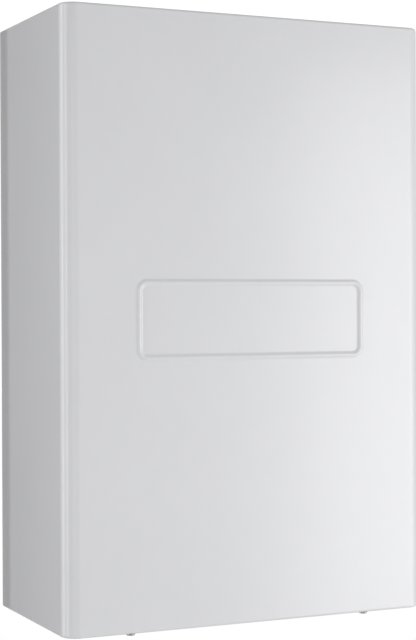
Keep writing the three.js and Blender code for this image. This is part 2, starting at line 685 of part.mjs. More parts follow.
// ---------------------------------------------------------------- flue
function flue() {
  const group = groupAt(DRUM_X, FLUE_Y, 0);
  const foot = DRUM_Z + FLUE_RISE + CLEAR;
  const sealTop = ROOF_Z + CLEAR + SEAL_THICKNESS;
  const plate = sealTop + CLEAR;
  const rim = COLLAR_RADIUS + COLLAR_FLANGE;
  place(group, "flue_duct", ring(FLUE_RADIUS - FLUE_WALL, FLUE_RADIUS, [foot, TOP_Z], "z", [0, 0, 0], 24),
    FINISH.greyPlastic);
  place(group, "flue_seal",
    ring(COLLAR_RADIUS - COLLAR_WALL, rim, [ROOF_Z + CLEAR, sealTop], "z", [0, 0, 0], 24), FINISH.rubber);
  place(group, "flue_collar", turned([
    [COLLAR_RADIUS - COLLAR_WALL, plate], [rim, plate], [rim, plate + COLLAR_PLATE],
    [COLLAR_RADIUS, plate + COLLAR_PLATE], [COLLAR_RADIUS, TOP_Z], [COLLAR_RADIUS - COLLAR_WALL, TOP_Z],
  ], "z", [0, 0, 0], 24), FINISH.whitePaint);
  return group;
}

// ---------------------------------------------------------------- heat module
/** The drum's shell: closed at the back, with its flue, water and drain nipples. */
function exchangerShell() {
  const inner = DRUM_RADIUS - DRUM_WALL;
  const drum = rod(DRUM_RADIUS, [-DRUM_FRONT, -DRUM_BACK], "y", [0, 0, 0], 24);
  const flange = rod(
    DRUM_RADIUS + DRUM_FLANGE, [-DRUM_FRONT, 2 * DRUM_WALL - DRUM_FRONT], "y", [0, 0, 0], 24,
  );
  const up = [DRUM_RADIUS * 0.9, FLUE_RISE];
  const down = (offset) => [-NIPPLE_DROP, -Math.sqrt(inner ** 2 - offset ** 2) + 6];
  const nipples = [
    [-WATER_NIPPLE_OFFSET, WATER_NIPPLE_Y], [WATER_NIPPLE_OFFSET, WATER_NIPPLE_Y], [DRAIN_OFFSET, DRAIN_Y],
  ];
  const body = join(drum, flange, rod(FLUE_RADIUS, up, "z", [0, FLUE_Y, 0], 24),
    ...nipples.map(([x, y]) => rod(NIPPLE_RADIUS, down(x), "z", [x, y, 0], 16)));
  return cut(body,
    rod(inner, [-DRUM_FRONT - 1, -DRUM_BACK - DRUM_WALL], "y", [0, 0, 0], 24),
    rod(FLUE_RADIUS - FLUE_WALL, [0, FLUE_RISE + 1], "z", [0, FLUE_Y, 0], 24),
    ...nipples.map(([x, y]) => rod(
      NIPPLE_RADIUS - DRUM_WALL, [-NIPPLE_DROP - 1, down(x)[1] + 1], "z", [x, y, 0], 16)));
}

/** The wound tube pack, as a ribbed sleeve. */
function exchangerCoil() {
  const outer = DRUM_RADIUS - DRUM_WALL - COIL_GAP;
  const back = DRUM_BACK + DRUM_WALL + CLEAR;
  const front = DOOR_BACK - DOOR_PLUG_DEPTH - RUN_CLEAR;
  const pitch = (front - back) / COIL_TURNS;
  const profile = [];
  for (let i = 0; i < COIL_TURNS; i += 1) {
    profile.push([outer - 3, -back - i * pitch], [outer, -back - (i + 0.3) * pitch],
      [outer, -back - (i + 0.7) * pitch]);
  }
  profile.push([outer - 3, -front], [COIL_INNER_RADIUS, -front], [COIL_INNER_RADIUS, -back]);
  return turned(profile, "y", [0, 0, 0], 20);
}

/** The door with its insulating plug, the mixture inlet, and the hole of the electrode. */
function burnerDoor() {
  const angle = -Math.PI / 4;
  const hole = rod(ELECTRODE_RADIUS + SLIDE_CLEAR, [-DOOR_FRONT - 1, DOOR_PLUG_DEPTH - DOOR_BACK + 1], "y",
    [ELECTRODE_ORBIT * Math.cos(angle), 0, ELECTRODE_ORBIT * Math.sin(angle)], 12);
  return cut(turned([
    [DUCT_RADIUS, DOOR_PLUG_DEPTH - DOOR_BACK],
    [COIL_INNER_RADIUS - RUN_CLEAR, DOOR_PLUG_DEPTH - DOOR_BACK],
    [COIL_INNER_RADIUS - RUN_CLEAR, -DOOR_BACK],
    [DRUM_RADIUS + DRUM_FLANGE, -DOOR_BACK],
    [DRUM_RADIUS + DRUM_FLANGE, -DOOR_FRONT],
    [DUCT_RADIUS + 6, -DOOR_FRONT],
    [DUCT_RADIUS + 6, -DOOR_FRONT - DOOR_COLLAR_HEIGHT],
    [DUCT_RADIUS, -DOOR_FRONT - DOOR_COLLAR_HEIGHT],
  ], "y", [0, 0, 0], 24), hole);
}

/** The burner: a closed-ended sleeve behind the door's plug. */
function burner() {
  const front = DOOR_PLUG_DEPTH - DOOR_BACK + CLEAR;
  const back = front + BURNER_LENGTH;
  return turned([
    [0, back], [BURNER_RADIUS, back], [BURNER_RADIUS, front], [BURNER_RADIUS - BURNER_WALL, front],
    [BURNER_RADIUS - BURNER_WALL, back - BURNER_WALL], [0, back - BURNER_WALL],
  ], "y", [0, 0, 0], 24);
}

function ignitionElectrode() {
  const angle = -Math.PI / 4;
  const at = [ELECTRODE_ORBIT * Math.cos(angle), 0, ELECTRODE_ORBIT * Math.sin(angle)];
  const front = -DOOR_FRONT - ELECTRODE_LENGTH / 3;
  const back = front + ELECTRODE_LENGTH;
  return turned([
    [0, front], [ELECTRODE_RADIUS, front], [ELECTRODE_RADIUS, back], [1.5, back],
    [1.5, back + ELECTRODE_TIP],
    [0, back + ELECTRODE_TIP],
  ], "y", at, 12);
}

function heatModule() {
  const group = groupAt(DRUM_X, 0, DRUM_Z);
  place(group, "exchanger_shell", exchangerShell(), FINISH.stainless);
  place(group, "exchanger_coil", exchangerCoil(), FINISH.castAluminium);
  place(group, "door_gasket", ring(COIL_INNER_RADIUS + 20, DRUM_RADIUS + DRUM_FLANGE,
    [-DOOR_BACK + CLEAR, -DRUM_FRONT - CLEAR], "y", [0, 0, 0], 24), FINISH.rubber);
  place(group, "burner_door", burnerDoor(), FINISH.castAluminium);
  place(group, "burner", burner(), FINISH.stainless);
  place(group, "ignition_electrode", ignitionElectrode(), FINISH.ceramic);
  return group;
}

// ---------------------------------------------------------------- fan and premix

/** The volute: open at the back for air, at the front for the impeller, and at its mouth. */
function fanHousing() {
  const inner = FAN_RADIUS - FAN_WALL;
  const wall = FAN_WALL;
  return cut(
    join(
      rod(FAN_RADIUS, FAN_SPAN, "y", [0, 0, 0], 24),
      block([0, FAN_OUTLET_REACH], FAN_SPAN, [FAN_OUTLET_RISE, FAN_RADIUS]),
    ),
    rod(inner, FAN_CAVITY, "y", [0, 0, 0], 24),
    block([0, FAN_OUTLET_REACH - wall], FAN_CAVITY, [FAN_OUTLET_RISE + wall, FAN_RADIUS - wall]),
    rod(DUCT_RADIUS - DUCT_WALL, [0, FAN_OUTLET_REACH + 1], "x", [0, FAN_MIDDLE, OUTLET_Z], 16),
    rod(FAN_INLET_RADIUS, [FAN_CAVITY[1] - 1, -FAN_BACK + 1], "y"),
    rod(inner - wall, [-FAN_FRONT - 1, FAN_CAVITY[0] + 1], "y", [0, 0, 0], 24),
  );
}

/** A wheel with straight vanes on a disc, on its shaft, which points to the front. */
function impeller({ radius, disc, vanes, rim, shaft, blades }) {
  const vane = (i) => {
    const turn = (2 * Math.PI * i) / blades;
    const middle = (radius + rim) / 2;
    const geometry = new THREE.BoxGeometry(radius - rim, vanes[1] - vanes[0] + 1, 2);
    geometry.rotateY(0.6).translate(middle, (vanes[0] + vanes[1] - 1) / 2, 0).rotateY(turn);
    return solid(geometry);
  };
  return join(
    rod(radius, disc, "y", [0, 0, 0], 24),
    rod(SHAFT_RADIUS + 3, [disc[0], vanes[1]], "y", [0, 0, 0], 16),
    rod(SHAFT_RADIUS, shaft, "y", [0, 0, 0], 16),
    ...Array.from({ length: blades }, (_, i) => vane(i)),
  );
}

/** A round motor with its mounting flange, bored for the shaft. */
function motor({ front, flange, radius, length }) {
  return turned([
    [SHAFT_RADIUS + SLIDE_CLEAR, front], [flange, front], [flange, front - MOTOR_FLANGE],
    [radius, front - MOTOR_FLANGE], [radius, front - length + 3], [radius - 3, front - length],
    [0, front - length], [0, front - length + 4], [SHAFT_RADIUS + SLIDE_CLEAR, front - length + 4],
  ], "y", [0, 0, 0], 24);
}

function venturi() {
  const end = -FAN_BACK + CLEAR;
  const bell = end + VENTURI_LENGTH;
  const portY = (end + bell) / 2;
  const throat = FAN_INLET_RADIUS - VENTURI_NARROWING;
  const flange = FAN_INLET_RADIUS + VENTURI_FLANGE;
  const body = turned([
    [throat, end], [flange, end], [flange, end + 4], [throat + 3, end + 8],
    [throat + 3, bell - 12], [VENTURI_BELL, bell], [VENTURI_BELL - 3, bell], [throat, bell - 12],
  ], "y");
  const boss = rod(VENTURI_PORT_RADIUS, [-VENTURI_PORT_DROP, -throat - 1], "z", [0, portY, 0], 16);
  const bore = rod(VENTURI_PORT_BORE, [-VENTURI_PORT_DROP - 1, 0], "z", [0, portY, 0], 12);
  return cut(join(body, boss), bore);
}

/** A flat box behind the venturi: air comes in at its open top and leaves through the hole. */
function airSilencer() {
  const front = -FAN_BACK + CLEAR + VENTURI_LENGTH + CLEAR;
  const span = [-SILENCER_WIDTH / 2, SILENCER_WIDTH / 2];
  const run = [front, front + SILENCER_DEPTH];
  const rise = [-SILENCER_DROP, SILENCER_HEIGHT - SILENCER_DROP];
  const inside = ([from, to]) => [from + DUCT_WALL, to - DUCT_WALL];
  return cut(
    block(span, run, rise),
    block(inside(span), inside(run), [rise[0] + DUCT_WALL, rise[1] + 1]),
    rod(VENTURI_BELL - 4, [front - 1, front + DUCT_WALL + 1], "y"),
  );
}

/** The duct from the fan's mouth round to the middle of the burner door. */
function premixDuct() {
  const mouth = [FAN_X + FAN_OUTLET_REACH + CLEAR, FAN_MIDDLE, FAN_Z + OUTLET_Z];
  const inlet = [DRUM_X, -DOOR_FRONT - DOOR_COLLAR_HEIGHT - CLEAR, DRUM_Z];
  const front = inlet[1] - DUCT_BEND - 1;
  const turn = DUCT_X;
  return pipe([
    mouth,
    [turn, mouth[1], mouth[2]],
    [turn, front, mouth[2]],
    [inlet[0], front, inlet[2]],
    inlet,
  ], { radius: DUCT_RADIUS, wall: DUCT_WALL, bend: DUCT_BEND, steps: 18, sides: 10 });
}

function fanUnit() {
  const group = groupAt(FAN_X, 0, FAN_Z);
  place(group, "fan_housing", fanHousing(), FINISH.castAluminium);
  const disc = [FAN_CAVITY[0] + RUN_CLEAR, FAN_CAVITY[0] + RUN_CLEAR + IMPELLER_DISC];
  place(group, "fan_impeller", impeller({
    radius: FAN_RADIUS - FAN_WALL - FAN_WALL - IMPELLER_GAP,
    rim: FAN_INLET_RADIUS + 6,
    disc,
    vanes: [disc[1], FAN_CAVITY[1] - RUN_CLEAR],
    shaft: [-FAN_FRONT - CLEAR - FAN_MOTOR_LENGTH + 6, disc[1]],
    blades: IMPELLER_BLADES,
  }), FINISH.castAluminium);
  place(group, "fan_motor", motor({
    front: -FAN_FRONT - CLEAR, flange: FAN_RADIUS - FAN_WALL, radius: FAN_MOTOR_RADIUS,
    length: FAN_MOTOR_LENGTH,
  }), FINISH.blackPlastic);
  place(group, "venturi", venturi(), FINISH.castAluminium);
  place(group, "air_silencer", airSilencer(), FINISH.blackPlastic);
  return group;
}

// ---------------------------------------------------------------- gas
function gasTrain() {
  const group = groupAt(0, 0, 0);
  const [w, d, h] = GAS_VALVE_SIZE;
  const valveX = [-w / 2, w / 2];
  const low = GAS_VALVE_Z - h / 2;
  const valve = join(
    block(valveX, [GAS_VALVE_Y - d / 2, GAS_VALVE_Y + d / 2], [low, low + h]),
    rod(GAS_BOSS_RADIUS, [low - GAS_BOSS_HEIGHT, low + 1], "z", [0, GAS_VALVE_Y, 0], 16),
    rod(GAS_BOSS_RADIUS, [-w / 2 - GAS_BOSS_HEIGHT, 1 - w / 2], "x", [0, GAS_VALVE_Y, GAS_VALVE_Z], 16),
    rod(GAS_COIL_RADIUS, [GAS_VALVE_Y - d / 2 - GAS_COIL_LENGTH, GAS_VALVE_Y], "y", [0, 0, GAS_VALVE_Z]),
  );
  place(group, "gas_valve", valve, FINISH.castAluminium);
  place(group, "gas_pipe", pipe([
    [0, TAIL_Y, FLOOR_Z + CLEAR], [0, TAIL_Y, low - GAS_BOSS_HEIGHT - GAS_JOG_LOW],
    [0, GAS_VALVE_Y, low - GAS_BOSS_HEIGHT - GAS_JOG_HIGH], [0, GAS_VALVE_Y, low - GAS_BOSS_HEIGHT - CLEAR],
  ], { radius: GAS_PIPE_RADIUS, wall: PIPE_WALL, bend: GAS_PIPE_BEND, steps: 12 }), FINISH.copper);
  const portY = -FAN_BACK + CLEAR + VENTURI_LENGTH / 2;
  const start = -w / 2 - GAS_BOSS_HEIGHT - CLEAR;
  place(group, "gas_tube", pipe([
    [start, GAS_VALVE_Y, GAS_VALVE_Z], [FAN_X + GAS_TUBE_RUN, GAS_VALVE_Y, GAS_VALVE_Z],
    [FAN_X, portY, GAS_VALVE_Z + GAS_TUBE_RISE],
    [FAN_X, portY, FAN_Z - VENTURI_PORT_DROP - CLEAR],
  ], { radius: SMALL_PIPE_RADIUS, wall: PIPE_WALL, bend: GAS_PIPE_BEND, steps: 12 }), FINISH.copper);
  return group;
}

// ---------------------------------------------------------------- expansion vessel
function expansion() {
  const group = groupAt(0, 0, 0);
  const middle = [VESSEL_X, -(VESSEL_BACK + VESSEL_DEPTH / 2), (VESSEL_TOP + VESSEL_BOTTOM) / 2];
  const tank = (inset) => {
    const rounding = VESSEL_ROUNDING - inset;
    const outline = roundedRectangle(
      VESSEL_DEPTH - 2 * inset, VESSEL_HEIGHT - 2 * inset, VESSEL_CORNER - inset,
    );
    const geometry = new THREE.ExtrudeGeometry(outline, {
      depth: VESSEL_THICKNESS - 2 * VESSEL_ROUNDING,
      bevelSize: rounding,
      bevelThickness: rounding,
      bevelOffset: -rounding,
      bevelSegments: 2,
      curveSegments: 4,
    }).translate(0, 0, VESSEL_ROUNDING - VESSEL_THICKNESS / 2);
    return solid(geometry.rotateX(Math.PI / 2).rotateZ(Math.PI / 2).translate(...middle));
  };
  const neckY = -(VESSEL_BACK + VESSEL_CORNER + SMALL_PIPE_RADIUS);
  const neck = rod(
    SMALL_PIPE_RADIUS + BOSS_WALL, [VESSEL_BOTTOM - BOSS_HEIGHT, VESSEL_BOTTOM + 8], "z",
    [VESSEL_X, neckY, 0], 12,
  );
  const bore = rod(
    SMALL_PIPE_RADIUS, [VESSEL_BOTTOM - BOSS_HEIGHT - 1, VESSEL_BOTTOM + 8], "z", [VESSEL_X, neckY, 0], 12,
  );
  place(group, "expansion_vessel", cut(join(tank(0), neck), tank(VESSEL_WALL), bore), FINISH.redPaint);
  const top = FLOOR_Z + PUMP_AXIS_Z + PUMP_RADIUS + BOSS_HEIGHT + CLEAR;
  const from = [VESSEL_X, neckY, VESSEL_BOTTOM - BOSS_HEIGHT - CLEAR];
  const to = [PUMP_X + VESSEL_BOSS_OFFSET, TAIL_Y, top];
  place(group, "vessel_pipe", pipe([
    from, [from[0], from[1], from[2] - 14], [to[0], to[1], to[2] + 14], to,
  ], { radius: SMALL_PIPE_RADIUS, wall: PIPE_WALL, bend: 10, steps: 10 }), FINISH.copper);
  return group;
}

// ---------------------------------------------------------------- hydraulics

/** Left block: the diverter's bore across, and the column under the flow pipe. */
function diverterBody() {
  const bore = [DIVERTER_FACE - 1, -COLUMN_OFFSET + DIVERTER_END];
  return cut(
    join(
      block([DIVERTER_FACE, -TAIL_PITCH + BLOCK_END_INSET],
        [-BLOCK_FRONT, BLOCK_FRONT], [CLEAR, BLOCK_BASE_HEIGHT]),
      block([-COLUMN_OFFSET - COLUMN_WIDTH / 2, -COLUMN_OFFSET + COLUMN_WIDTH / 2],
        [-BLOCK_FRONT, BLOCK_FRONT], [BLOCK_BASE_HEIGHT - 1, BLOCK_COLUMN_TOP]),
    ),
    rod(DIVERTER_BORE, bore, "x", [0, 0, DIVERTER_AXIS_Z]),
  );
}

/** A spool with two lands on its stem, which reaches into the motor. */
function diverterPlunger() {
  const land = DIVERTER_BORE - SLIDE_CLEAR;
  const tip = -COLUMN_OFFSET + DIVERTER_END - DIVERTER_TRAVEL - RUN_CLEAR;
  const end = DIVERTER_FACE - DIVERTER_STEM_REACH;
  const rear = tip - DIVERTER_LAND_PITCH; // nearer face of the rear land
  return turned([
    [0, end], [DIVERTER_STEM, end], [DIVERTER_STEM, rear - DIVERTER_LAND], [land, rear - DIVERTER_LAND],
    [land, rear], [DIVERTER_STEM, rear], [DIVERTER_STEM, tip - DIVERTER_LAND], [land, tip - DIVERTER_LAND],
    [land, tip],
    [0, tip],
  ], "x", [0, 0, DIVERTER_AXIS_Z], 20);
}

function diverterMotor() {
  const face = DIVERTER_FACE - CLEAR;
  const stem = DIVERTER_STEM + SLIDE_CLEAR;
  const well = DIVERTER_FACE - DIVERTER_STEM_REACH - DIVERTER_TRAVEL - 2;
  return turned([
    [0, face - DIVERTER_MOTOR_LENGTH], [DIVERTER_MOTOR_RADIUS - 3, face - DIVERTER_MOTOR_LENGTH],
    [DIVERTER_MOTOR_RADIUS, face - DIVERTER_MOTOR_LENGTH + 3], [DIVERTER_MOTOR_RADIUS, face], [stem, face],
    [stem, well], [0, well],
  ], "x", [0, 0, DIVERTER_AXIS_Z]);
}

/** Right block: pump volute, the column under the return pipe, vent seat and vessel boss. */
function pumpBody() {
  const column = [RIGHT_COLUMN_OFFSET - COLUMN_WIDTH / 2, RIGHT_COLUMN_OFFSET + COLUMN_WIDTH / 2];
  const across = [-BLOCK_FRONT, BLOCK_FRONT];
  const top = PUMP_AXIS_Z + PUMP_RADIUS;
  return cut(
    join(
      block(column, across, [FLOW_SENSOR_HEIGHT + 2 * CLEAR, BLOCK_COLUMN_TOP]),
      block([column[0], PUMP_X], across, [PUMP_AXIS_Z - 20, PUMP_AXIS_Z + 20]),
      rod(PUMP_RADIUS, across, "y", [PUMP_X, 0, PUMP_AXIS_Z], 24),
      rod(TAIL_RADIUS + 5, [CLEAR, PUMP_AXIS_Z - 20], "z", [PUMP_X, 0, 0], 20),
      rod(VENT_RADIUS, [PUMP_AXIS_Z, top + BOSS_HEIGHT], "z", [PUMP_X, 0, 0], 20),
      rod(SMALL_PIPE_RADIUS + BOSS_WALL, [PUMP_AXIS_Z, top + BOSS_HEIGHT], "z",
        [PUMP_X + VESSEL_BOSS_OFFSET, 0, 0], 12),
    ),
    rod(PUMP_CAVITY_RADIUS, [PUMP_CAVITY[0] - 1, PUMP_CAVITY[1]], "y", [PUMP_X, 0, PUMP_AXIS_Z], 24),
    rod(TAIL_RADIUS, [0, PUMP_AXIS_Z], "z", [PUMP_X, 0, 0], 16),
  );
}

function pump(group) {
  const unit = groupAt(PUMP_X, 0, PUMP_AXIS_Z);
  const disc = [PUMP_CAVITY[0] + RUN_CLEAR, PUMP_CAVITY[0] + RUN_CLEAR + IMPELLER_DISC];
  const face = -BLOCK_FRONT - CLEAR;
  place(unit, "pump_impeller", impeller({
    radius: PUMP_CAVITY_RADIUS - RUN_CLEAR,
    rim: SHAFT_RADIUS + 8,
    disc,
    vanes: [disc[1], PUMP_CAVITY[1] - RUN_CLEAR],
    shaft: [face - PUMP_MOTOR_LENGTH + 6, disc[1]],
    blades: PUMP_BLADES,
  }), FINISH.whitePlastic);
  place(unit, "pump_motor", motor({
    front: face, flange: PUMP_RADIUS, radius: PUMP_MOTOR_RADIUS, length: PUMP_MOTOR_LENGTH,
  }), FINISH.castAluminium);
  group.add(unit);
}

/** A pipe tail: a short tube through the bottom plate with its union nut at the lower end. */
function pipeTail() {
  const end = BOTTOM_Z + TAIL_LIFT - FLOOR_Z;
  const bore = rod(TAIL_RADIUS - TAIL_WALL, [end - 1, 1], "z", [0, 0, 0], 16);
  return cut(join(
    rod(TAIL_RADIUS, [end, 0], "z", [0, 0, 0], 16),
    hexagon(TAIL_NUT_ACROSS, [end, end + TAIL_NUT_HEIGHT], "z"),
  ), bore);
}

function tails(group) {
  const names = [
    "heating_flow_tail", "hot_water_tail", "gas_tail", "cold_water_tail", "heating_return_tail",
  ];
  names.forEach((name, i) => {
    const spot = groupAt(TAILS[i], 0, 0);
    place(spot, name, pipeTail(), FINISH.brass);
    group.add(spot);
  });
}

function flowSensor(group) {
  const spot = groupAt(TAIL_PITCH, 0, 0);
  const run = [CLEAR, CLEAR + FLOW_SENSOR_HEIGHT];
  const body = ring(FLOW_BORE, FLOW_SENSOR_RADIUS, run, "z", [0, 0, 0], 20);
  place(spot, "flow_sensor", body, FINISH.blackPlastic);
  const wheel = FLOW_BORE - TURBINE_GAP;
  const blade = (i) => {
    const geometry = new THREE.BoxGeometry(wheel - 1, 1.2, 10);
    geometry.rotateX(0.5).translate((wheel - 1) / 2 + 0.5, 0, FLOW_SENSOR_HEIGHT / 2);
    return solid(geometry.rotateZ((2 * Math.PI * i) / TURBINE_BLADES));
  };
  place(spot, "flow_turbine", join(
    rod(2, [5, FLOW_SENSOR_HEIGHT - 5], "z", [0, 0, 0], 12),
    ...Array.from({ length: TURBINE_BLADES }, (_, i) => blade(i)),
  ), FINISH.whitePlastic);
  group.add(spot);
}

/** The brazed pack: a solid core with every plate standing a little proud. */
function plateExchanger() {
  const face = BLOCK_FRONT + CLEAR;
  const plate = (width, height, run) => {
    const outline = roundedRectangle(width, height, 14);
    const geometry = new THREE.ExtrudeGeometry(outline, {
      depth: run[1] - run[0], bevelEnabled: false, curveSegments: 2,
    });
    return solid(geometry.translate(0, 0, run[0]).rotateX(Math.PI / 2).translate(PACK_X, 0, PLATE_PACK_Z));
  };
  const pitch = PLATE_PACK_DEPTH / PLATE_PACK_PLATES;
  const plates = Array.from({ length: PLATE_PACK_PLATES }, (_, i) => plate(
    PLATE_PACK_WIDTH, PLATE_PACK_HEIGHT, [face + i * pitch, face + (i + 0.6) * pitch],
  ));
  const end = face + (PLATE_PACK_PLATES - 0.4) * pitch;
  return join(plate(PLATE_PACK_WIDTH - 4, PLATE_PACK_HEIGHT - 4, [face, end]), ...plates);
}

/** A grip with flutes round it, on a turned body. */
function fluted(profile, axis, at, radius, flutes = 8) {
  const run = [Math.min(...profile.map((p) => p[1])) - 1, Math.max(...profile.map((p) => p[1])) + 1];
  const groove = (i) => {
    const turn = (2 * Math.PI * (i + 0.5)) / flutes;
    const [a, b] = [radius * 1.12 * Math.cos(turn), radius * 1.12 * Math.sin(turn)];
    const spot = axis === "z" ? [at[0] + a, at[1] + b, at[2]] : [at[0] + a, at[1], at[2] + b];
    return rod(radius * 0.22, run, axis, spot, 8);
  };
  return cut(turned(profile, axis, at), ...Array.from({ length: flutes }, (_, i) => groove(i)));
}

function reliefValve(group) {
  const spot = groupAt(-2 * TAIL_PITCH, 0, RELIEF_Z);
  const face = -BLOCK_FRONT - CLEAR;
  const end = face - RELIEF_LENGTH;
  place(spot, "relief_valve", join(
    rod(RELIEF_RADIUS, [end, face], "y", [0, 0, 0], 20),
    hexagon(2 * RELIEF_RADIUS + 4, [face - 12, face - 4], "y"),
  ), FINISH.brass);
  const top = end - CLEAR;
  place(spot, "relief_knob", fluted([
    [0, top - KNOB_HEIGHT], [KNOB_RADIUS - 2, top - KNOB_HEIGHT], [KNOB_RADIUS, top - KNOB_HEIGHT + 2],
    [KNOB_RADIUS, top], [0, top],
  ], "y", [0, 0, 0], KNOB_RADIUS), FINISH.redPlastic);
  group.add(spot);
}

/** The filling tap on the block's face; its knob hangs under the bottom plate. */
function fillingTap(group) {
  const spot = groupAt(FILL_X, -BLOCK_FRONT - FILL_REACH, 0);
  const low = -FRAME_SHEET - 4;
  place(spot, "filling_tap", join(
    rod(FILL_RADIUS, [low, PUMP_AXIS_Z], "z", [0, 0, 0], 20),
    rod(FILL_RADIUS - 2, [0, FILL_REACH - CLEAR], "y", [0, 0, PUMP_AXIS_Z - 14], 16),
  ), FINISH.brass);
  const top = low - CLEAR;
  const height = KNOB_HEIGHT;
  place(spot, "filling_knob", fluted([
    [0, top - height], [KNOB_RADIUS - 2, top - height], [KNOB_RADIUS, top - height + 2], [KNOB_RADIUS, top],
    [0, top],
  ], "z", [0, 0, 0], KNOB_RADIUS, 6), FINISH.bluePlastic);
  group.add(spot);
}

/** The trap: a bottle with a neck above, and its outlet through the bottom plate. */
function condensateTrap() {
  const end = BOTTOM_Z + TAIL_LIFT - FLOOR_Z;
  const shoulder = TRAP_HEIGHT - 8;
  const neck = TRAP_HEIGHT + TRAP_NECK_HEIGHT;
  const bore = TRAP_NECK_RADIUS - 2;
  return turned([
    [bore, end], [TRAP_NECK_RADIUS, end], [TRAP_NECK_RADIUS, CLEAR], [TRAP_RADIUS, CLEAR],
    [TRAP_RADIUS, shoulder], [TRAP_NECK_RADIUS, TRAP_HEIGHT], [TRAP_NECK_RADIUS, neck], [bore, neck],
  ], "z", [TRAP_X, TRAP_Y - TAIL_Y, 0]);
}

/** The two water pipes and the drain hose between hydraulics and drum. */
function risers(root) {
  const start = FLOOR_Z + BLOCK_COLUMN_TOP + CLEAR;
  const end = DRUM_Z - NIPPLE_DROP - CLEAR;
  const riser = (from, to, y) => pipe([
    [from, TAIL_Y, start], [from, TAIL_Y, start + RISER_STRAIGHT],
    [to, y, end - RISER_STRAIGHT], [to, y, end],
  ], { radius: WATER_PIPE_RADIUS, wall: PIPE_WALL, bend: RISER_BEND, steps: 12 });
  place(root, "flow_pipe", riser(-COLUMN_OFFSET, DRUM_X - WATER_NIPPLE_OFFSET, WATER_NIPPLE_Y),
    FINISH.copper);
  place(root, "return_pipe", riser(RIGHT_COLUMN_OFFSET, DRUM_X + WATER_NIPPLE_OFFSET, WATER_NIPPLE_Y),
    FINISH.copper);
  const foot = FLOOR_Z + TRAP_HEIGHT + TRAP_NECK_HEIGHT + CLEAR;
  const drain = DRUM_X + DRAIN_OFFSET;
  place(root, "condensate_hose", pipe([
    [drain, DRAIN_Y, end], [drain, DRAIN_Y, foot + HOSE_DROP], [TRAP_X, TRAP_Y, foot + HOSE_LEAD],
    [TRAP_X, TRAP_Y, foot],
  ], { radius: HOSE_RADIUS, wall: HOSE_WALL, bend: HOSE_BEND, steps: 12 }), FINISH.greyPlastic);
}

function hydraulics() {
  const group = groupAt(0, TAIL_Y, FLOOR_Z);
  place(group, "diverter_body", diverterBody(), FINISH.composite);
  place(group, "diverter_plunger", diverterPlunger(), FINISH.whitePlastic);
  place(group, "diverter_motor", diverterMotor(), FINISH.blackPlastic);
  place(group, "pump_body", pumpBody(), FINISH.composite);
  pump(group);
  const seat = PUMP_AXIS_Z + PUMP_RADIUS + BOSS_HEIGHT + CLEAR;
  place(group, "air_vent", turned([
    [0, seat], [VENT_RADIUS, seat], [VENT_RADIUS, seat + VENT_HEIGHT - 8],
    [VENT_RADIUS - 7, seat + VENT_HEIGHT - 6], [VENT_RADIUS - 7, seat + VENT_HEIGHT],
    [0, seat + VENT_HEIGHT],
  ], "z", [PUMP_X, 0, 0], 20), FINISH.brass);
  place(group, "plate_exchanger", plateExchanger(), FINISH.stainless);
  flowSensor(group);
  reliefValve(group);
  fillingTap(group);
  place(group, "condensate_trap", condensateTrap(), FINISH.greyPlastic);
  tails(group);
  return group;
}

// ---------------------------------------------------------------- controls
/** The control box: open at the front, with posts for the board on its back wall. */
function controlBox() {
  const [w, d] = [CONTROL_WIDTH / 2, CONTROL_DEPTH / 2];
  const low = FLOOR_Z + CLEAR;
  const wall = CONTROL_WALL;
  const inner = low + CONTROL_HEIGHT - wall;
  const corner = wall + BOARD_MARGIN + 2 * STANDOFF_RADIUS; // outside of the box to a post's middle
  const posts = [-1, 1].flatMap((sx) => [0, 1].map((up) => rod(
    STANDOFF_RADIUS, [CONTROL_Y + d - wall - STANDOFF_HEIGHT, CONTROL_Y + d - 1], "y",
    [sx * (w - corner), 0, low + corner + up * (CONTROL_HEIGHT - 2 * corner)], 12,
  )));
  return cut(join(
    cut(
      block([-w, w], [CONTROL_Y - d, CONTROL_Y + d], [low, low + CONTROL_HEIGHT]),
      block([wall - w, w - wall], [CONTROL_Y - d - 1, CONTROL_Y + d - wall], [low + wall, inner]),
    ),
    ...posts,
  ), ...controlHoles([low - 1, low + wall + 1]));
}

/** The board with its transformer, relays, heat sink and terminal strip. */
function circuitBoard() {
  const back = CONTROL_Y + CONTROL_DEPTH / 2 - CONTROL_WALL - STANDOFF_HEIGHT - CLEAR;
  const front = back - BOARD_THICKNESS;
  const w = CONTROL_WIDTH / 2 - CONTROL_WALL - BOARD_MARGIN;
  const low = FLOOR_Z + CLEAR + CONTROL_WALL + BOARD_MARGIN;
  const high = low + CONTROL_HEIGHT - 2 * CONTROL_WALL - 2 * BOARD_MARGIN;
  const lump = (x, width, z, height, rise) => block(
    [x, x + width], [front - rise, front + 0.5], [z, z + height]);
  const left = -w + PART_INSET;
  const beside = left + TRANSFORMER[0] + 2 * PART_INSET;
  const topOf = (height) => high - PART_INSET - height;
  const relays = Array.from({ length: RELAYS }, (_, i) => lump(
    beside + i * RELAY_PITCH, RELAY[0], topOf(RELAY[1]), RELAY[1], RELAY[2],
  ));
  return join(
    block([-w, w], [front, back], [low, high]),
    lump(left, TRANSFORMER[0], topOf(TRANSFORMER[1]), TRANSFORMER[1], TRANSFORMER[2]),
    lump(w - PART_INSET - HEAT_SINK[0], HEAT_SINK[0], topOf(HEAT_SINK[1]), HEAT_SINK[1], HEAT_SINK[2]),
    lump(beside, w - PART_INSET - beside, low + PART_INSET, TERMINAL_HEIGHT, TERMINAL_DEPTH),
    ...relays,
  );
}

